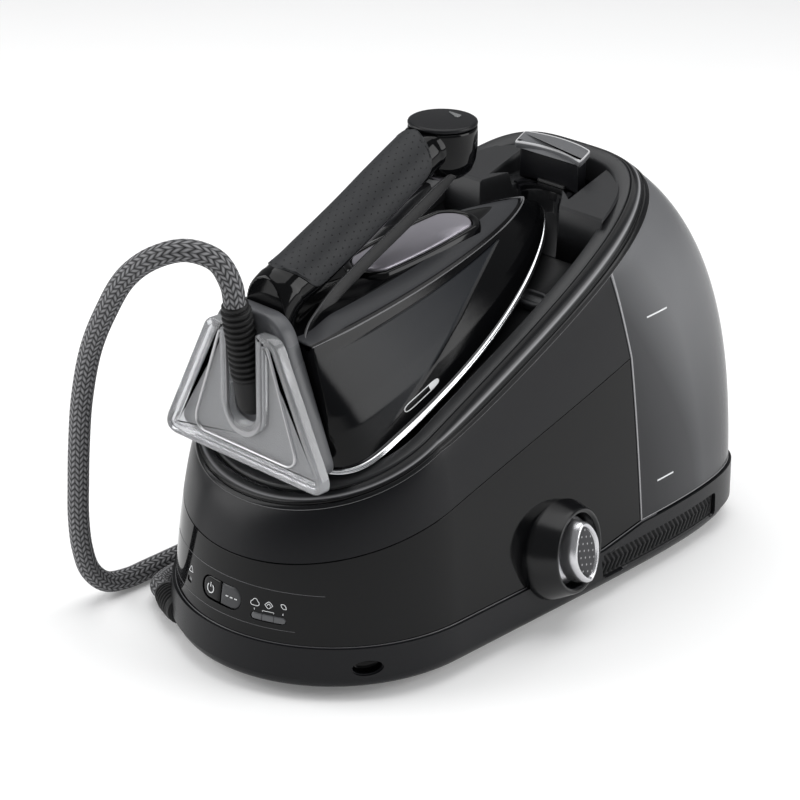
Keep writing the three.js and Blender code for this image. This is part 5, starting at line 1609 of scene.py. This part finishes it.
def makeMarks():
    # plain pictograms beside the controls: a power sign, a drop, two diamonds and a leaf
    z = panel["height"]
    stroke("powerArc", ringOf(-8.2, z - 0.2, 2.7, 125, 415), 0.62, 0.12, "power_button", ink)
    stroke("powerBar", [(-8.2, z + 0.6), (-8.2, z + 3.4)], 0.62, 0.12, "power_button", ink)
    for k in range(3):
        stroke(f"modeDash{k}", [(4.6 + 3.2 * k, z), (6.6 + 3.2 * k, z)], 0.6, 0.12, "mode_button", ink)
    x0, z0, r = panel["barX"], 54.3, 2.3
    cloud = np.concatenate([ringOf(x0 - 8.2, z0 + 0.6, 1.5, 20, 160, 14),
                            ringOf(x0 - 9.6, z0 - 0.6, 1.3, 110, 270, 12),
                            ringOf(x0 - 6.9, z0 - 0.6, 1.3, -90, 70, 12)])
    stroke("cloud", cloud, 0.42, 0.1, "root", ink, closed=True)
    diamond = [(x0 - r, z0), (x0, z0 - r), (x0 + r, z0), (x0, z0 + r)]
    stroke("diamond", diamond, 0.42, 0.1, "root", ink, closed=True)
    stroke("diamondTop", [(x0 - 1.1, z0 - 0.3), (x0, z0 + 0.9), (x0 + 1.1, z0 - 0.3)], 0.4, 0.1, "root", ink)
    leaf = np.concatenate([ringOf(x0 + 6.6, z0 - 0.6, 3.0, 0, 62, 14),
                           ringOf(x0 + 9.7, z0 + 2.0, 3.0, 180, 242, 14)])
    stroke("leaf", leaf, 0.42, 0.1, "root", ink, closed=True)
    for k, at in enumerate((-8.2, 8.2)):
        stroke(f"tick{k}", [(x0 + at, 49.9), (x0 + at, 51.0)], 0.42, 0.1, "root", ink)
    stroke("bracket", [(x0 - 3.2, 49.8), (x0 - 3.2, 50.5), (x0 + 3.2, 50.5), (x0 + 3.2, 49.8)], 0.34, 0.1,
           "root", ink)
    x1 = panel["ledX"] + 1.0
    stroke("restSign", [(x1 - 2.4, 52.4), (x1 + 0.2, 56.4), (x1 + 2.6, 52.9), (x1 - 2.4, 52.4)], 0.42, 0.1,
           "root", ink)
    for k, (height, x0, x1) in enumerate(((63.5, -58, 60), (41.0, -58, 48))):
        x = np.linspace(x0, x1, 60)
        stroke(f"fineLine{k}", np.stack([x, np.full(60, height)], -1), 0.3, 0.16, "root", lineGrey)


def makeOval():
    # the oval dish low in the front: a bright lip, then rings that sink into the wall
    angle = np.linspace(0, 2 * np.pi, 100, endpoint=False)
    rings = [(1.06, 0.0, 1), (1.05, 0.32, 1), (1.0, 0.4, 1), (0.97, 0.2, 1), (0.95, -0.8, 0), (0.92, -3.0, 0),
             (0.84, -4.6, 0), (0.6, -5.4, 0), (0.3, -5.6, 0)]
    rows, marks = [], []
    for k, depth, m in rings:
        loop = np.stack([ovalDish["x"] + ovalDish["halfX"] * k * np.cos(angle),
                         ovalDish["z"] + ovalDish["halfZ"] * k * np.sin(angle)], -1)
        rows.append(onSkin(loop, depth))
        marks.append(np.full(100, 0.5 * m * (1 if k > 1 else 0.6)))
    return build("ovalRecess", Shape().grid(np.stack(rows), around=True, capEnd=True, mark=np.stack(marks)),
                 "root", deckBlack, (), outward=inside)


# ---- the drain knob in its collar
knob = dict(centre=np.array([95, 85.5, 49.0]), axis=unit(np.array([0.975, 0.178, 0.13])), radius=25.5,
            flare=5.5, standOut=12, length=20.4, width=14.6)


def onKnob(points):
    # u along the grip, v across it, w along the knob's axis
    p = np.asarray(points, float)
    w = knob["axis"]
    u = unit(np.array([0, 0, 1.0]) - w * w[2])
    turnBy = math.radians(8)
    v = np.cross(w, u)
    u, v = u * math.cos(turnBy) + v * math.sin(turnBy), v * math.cos(turnBy) - u * math.sin(turnBy)
    return knob["centre"] + p[..., :1] * u + p[..., 1:2] * v + p[..., 2:3] * w


def makeKnob():
    # collar and dish are turned; the grip is a rounded diamond that narrows towards its top;
    # a dotted inlay lies in its face
    outer, inner = knob["radius"] + knob["flare"], knob["radius"]
    profile = rounded([(outer - 2, -18), (outer, -16), (outer + 0.2, -4), (outer - 0.4, -1.0),
                       (inner + 0.4, 10.6),
                       (inner - 0.6, 12.6), (inner - 2.4, 12.6), (inner - 3.6, 11.4), (inner - 4.0, 2.0),
                       (inner - 5, 0.4), (10, 0.2)], 0.9)
    build("knobCollar", turnedShape(profile, 110, knob["centre"], knob["axis"]), "root", collarBlack,
          ("knob_collar",))
    dish = rounded([(19.0, 0.7), (20.6, 1.2), (20.9, 4.2), (20.0, 5.6), (16, 7.4), (9, 8.2), (2, 8.4)], 0.8)
    build("knobDish", turnedShape(dish, 96, knob["centre"], knob["axis"]), "drain", silver, ())

    def diamond(grow, height, count=140):
        a = np.linspace(0, 2 * np.pi, count, endpoint=False)
        power = 2 / 1.62
        return np.stack([(knob["length"] + grow) * halfPower(np.cos(a), power),
                         (knob["width"] + grow) * halfPower(np.sin(a), power), np.full(count, float(height))],
                        -1)
    rings = [(0.8, 3.0), (0.3, 7.0), (-0.2, 13.5), (-0.5, 16.2), (-1.2, 17.6), (-2.2, 18.2), (-3.2, 18.0),
             (-3.9, 17.2), (-4.2, 16.2)]
    build("drainKnob", Shape().grid(onKnob(np.stack([diamond(g, h) for g, h in rings])), around=True,
                                    capStart=True, capEnd=True), "drain", silver, ("drain_knob",))
    rings = [(-4.3, 15.6), (-4.4, 16.7), (-4.9, 17.1), (-6.0, 17.2), (-8.0, 17.3), (-10.0, 17.35)]
    rows = [diamond(g, h) for g, h in rings[:-1]]
    middle = rows[-1] * [0, 0, 1]
    rows += [mix(rows[-1], middle, 0.5), mix(rows[-1], middle, 0.9)]
    rows = np.stack(rows)
    build("knobInlay", Shape().grid(onKnob(rows), around=True, capEnd=True, uv=rows[..., :2]), "drain",
          inlayDots, ("knob_inlay",), outward=onKnob((0, 0, 0)), uvMap=True)


# ---- small pieces at the back and below
def makeGland():
    # a tapered sleeve with grooves where the hose leaves the base
    z = np.linspace(-1, 27, 170)
    r = np.interp(z, [-1, 0, 3, 17, 27], [6.4, 8.5, 8.5, 8.4, 7.0])
    r = r + 0.5 * np.clip(np.sin(z / 3.4 * 2 * np.pi) * 1.8, -1, 1) * smooth(3, 5, z) * smooth(26.6, 25,
                                                                                               z) - 0.2
    return build("hoseGland", turnedShape(np.column_stack([r, z]), 64, glandStart, glandAxis), "root",
                 rubberBlack, ("hose_gland",))


def makeInlet():
    # the inlet of the mains lead: a collar with a round bore, low at the back
    profile = rounded([(5, -5), (8, -5), (8, 5.4), (7.2, 8), (4.6, 8), (4.0, 6.6), (4.0, -2), (1, -2.2)], 0.7)
    return build("mainsInlet", turnedShape(profile, 64, (-40, base["rear"], 22), (0, 1, 0), (0, 0, 1)),
                 "root", rubberBlack, ("mains_inlet",))


def makeFeet():
    # turned rubber feet with a rounded foot edge and a groove
    for name, (x, y) in dict(front_left=(-58, -20), front_right=(58, -20), rear_left=(-70, 215),
                             rear_right=(70, 215)).items():
        profile = rounded([(4, 0.5), (5, 0), (8.4, 0), (9, 0.8), (9, 2.6), (8.6, 3.0), (8.6, 3.4), (9, 3.8),
                           (9, 5.8), (2, 5.8)], 0.5)
        build("foot" + name.title().replace("_", ""), turnedShape(profile, 64, (x, y, 0)), "root",
              rubberBlack, (f"foot_{name}",))


def makeTicks():
    # two level marks on the tank's right flank
    for k, (z, front, rear) in enumerate(((166, 168, 188), (60, 176, 192))):
        y = np.linspace(front, rear, 30)
        rows = []
        for dz, lift in ((-0.55, -0.1), (-0.45, 0.16), (0.45, 0.16), (0.55, -0.1)):
            height = np.full(30, z + dz)
            rows.append(raised(shareAtY(y, height), height, np.full(30, lift)))
        build(f"levelMark{k}", Shape().grid(np.stack(rows)), "tank", ink, (), outward=inside)


def makeBadge():
    # a blank badge low on the iron's side: an outline ribbon and a filled end
    def onSide(s, t):
        low = halfWidthAt(s, iron["half"] - 1, 16, 60, iron["length"] + 1)
        high = halfWidthAt(s, iron["deckHalf"], 20, 62, iron["deckLength"])
        lean = leanAt(t)
        h = mix(skirt["low"], iron["deckHigh"] - iron["deckFall"] * s, t)
        return np.stack([mix(low, high, lean) + 0.35, s, h], -1)
    s0, length, t0 = 84, 30, 0.14
    a = np.linspace(0, 2 * np.pi, 120, endpoint=False)
    x = length / 2 * halfPower(np.cos(a), 0.35)
    y = 0.036 * halfPower(np.sin(a), 0.75)
    rows = [onSide(s0 + x * k, t0 + y * j) + [lift, 0, 0] for k, j, lift in
            ((1.0, 1.0, -0.4), (1.0, 1.0, 0), (0.965, 0.84, 0), (0.965, 0.84, -0.4))]
    build("badgeLine", Shape().grid(onIron(np.stack(rows)), around=True), "iron", ink, (),
          outward=onIron((30, 90, 20)))
    u = np.linspace(0.45, 0.97, 20)
    v = np.linspace(-1, 1, 12)
    gu, gv = np.meshgrid(u, v)
    edge = np.clip(1 - np.clip((gu - 0.82) / 0.16, 0, 1) ** 2, 0, 1) ** 0.5
    points = onSide(s0 + gu * length / 2, t0 + gv * 0.031 * edge)
    build("badgeEnd", Shape().grid(onIron(points)), "iron", ink, (), outward=onIron((30, 90, 20)))


makeKeys()
makeMarks()
makeOval()
makeKnob()
makeGland()
makeInlet()
makeFeet()
makeTicks()
makeBadge()
print("small pieces done")

# ---- finishes of the inner pieces that are shown as the solids they are
carried = dict(tank_outlet=matteBlack, tank_bay=matteBlack, dock_seal=rubberBlack, boiler_lower=boilerSteel,
               boiler_upper=boilerSteel, boiler_heater=boilerSteel, boiler_thermostat=paleGrey,
               steam_solenoid=brass,
               water_pump=matteBlack, drain_pipe=brass, drain_seal=rubberBlack, main_board=board,
               drain_plug=brass,
               steam_chamber=castAlloy, trigger_switch=matteBlack, iron_steam_tube=rubberBlack)
for name, finish in carried.items():
    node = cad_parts[name]
    node.data.materials.clear()
    node.data.materials.append(finish)

floorMesh = bpy.data.meshes.new("floor")
reach = 6
floorMesh.from_pydata([(-reach, -reach, 0), (reach, -reach, 0), (reach, reach, 0), (-reach, reach, 0)], [],
                      [(0, 1, 2, 3)])
floorMesh.materials.append(floorPaint)
floor = bpy.data.objects.new("floor", floorMesh)
bpy.context.scene.collection.objects.link(floor)


def softbox(name, place, aim, size, power):
    # an area lamp turned towards aim
    lamp = bpy.data.lights.new(name, "AREA")
    lamp.shape, lamp.size, lamp.size_y = "RECTANGLE", size[0], size[1]
    lamp.energy = power
    box = bpy.data.objects.new(name, lamp)
    bpy.context.scene.collection.objects.link(box)
    box.location = Vector(place)
    box.rotation_mode = "QUATERNION"
    box.rotation_quaternion = (Vector(aim) - Vector(place)).to_track_quat("-Z", "Y")
    return box


softbox("top", (-0.1, 0.2, 1.6), (0, 0, 0), (1.8, 1.8), 23)
softbox("left", (-1.3, -1.2, 0.9), (0, 0, 0.15), (1.3, 1.5), 24)
softbox("right", (1.5, 0.9, 0.8), (0, 0.05, 0.15), (1.1, 1.3), 20)
world = bpy.data.worlds.new("studio")
world.use_nodes = True
tree = world.node_tree
dim = tree.nodes["Background"]
dim.inputs[0].default_value, dim.inputs[1].default_value = (0.93, 0.94, 0.95, 1), 0.26
bright = tree.nodes.new("ShaderNodeBackground")
bright.inputs[0].default_value, bright.inputs[1].default_value = (0.96, 0.96, 0.96, 1), 1.0
seenBy = tree.nodes.new("ShaderNodeLightPath")
both = tree.nodes.new("ShaderNodeMixShader")
tree.links.new(seenBy.outputs["Is Camera Ray"], both.inputs[0])
tree.links.new(dim.outputs[0], both.inputs[1])
tree.links.new(bright.outputs[0], both.inputs[2])
tree.links.new(both.outputs[0], tree.nodes["World Output"].inputs["Surface"])
bpy.context.scene.world = world
bpy.context.scene.view_settings.view_transform = "Standard"
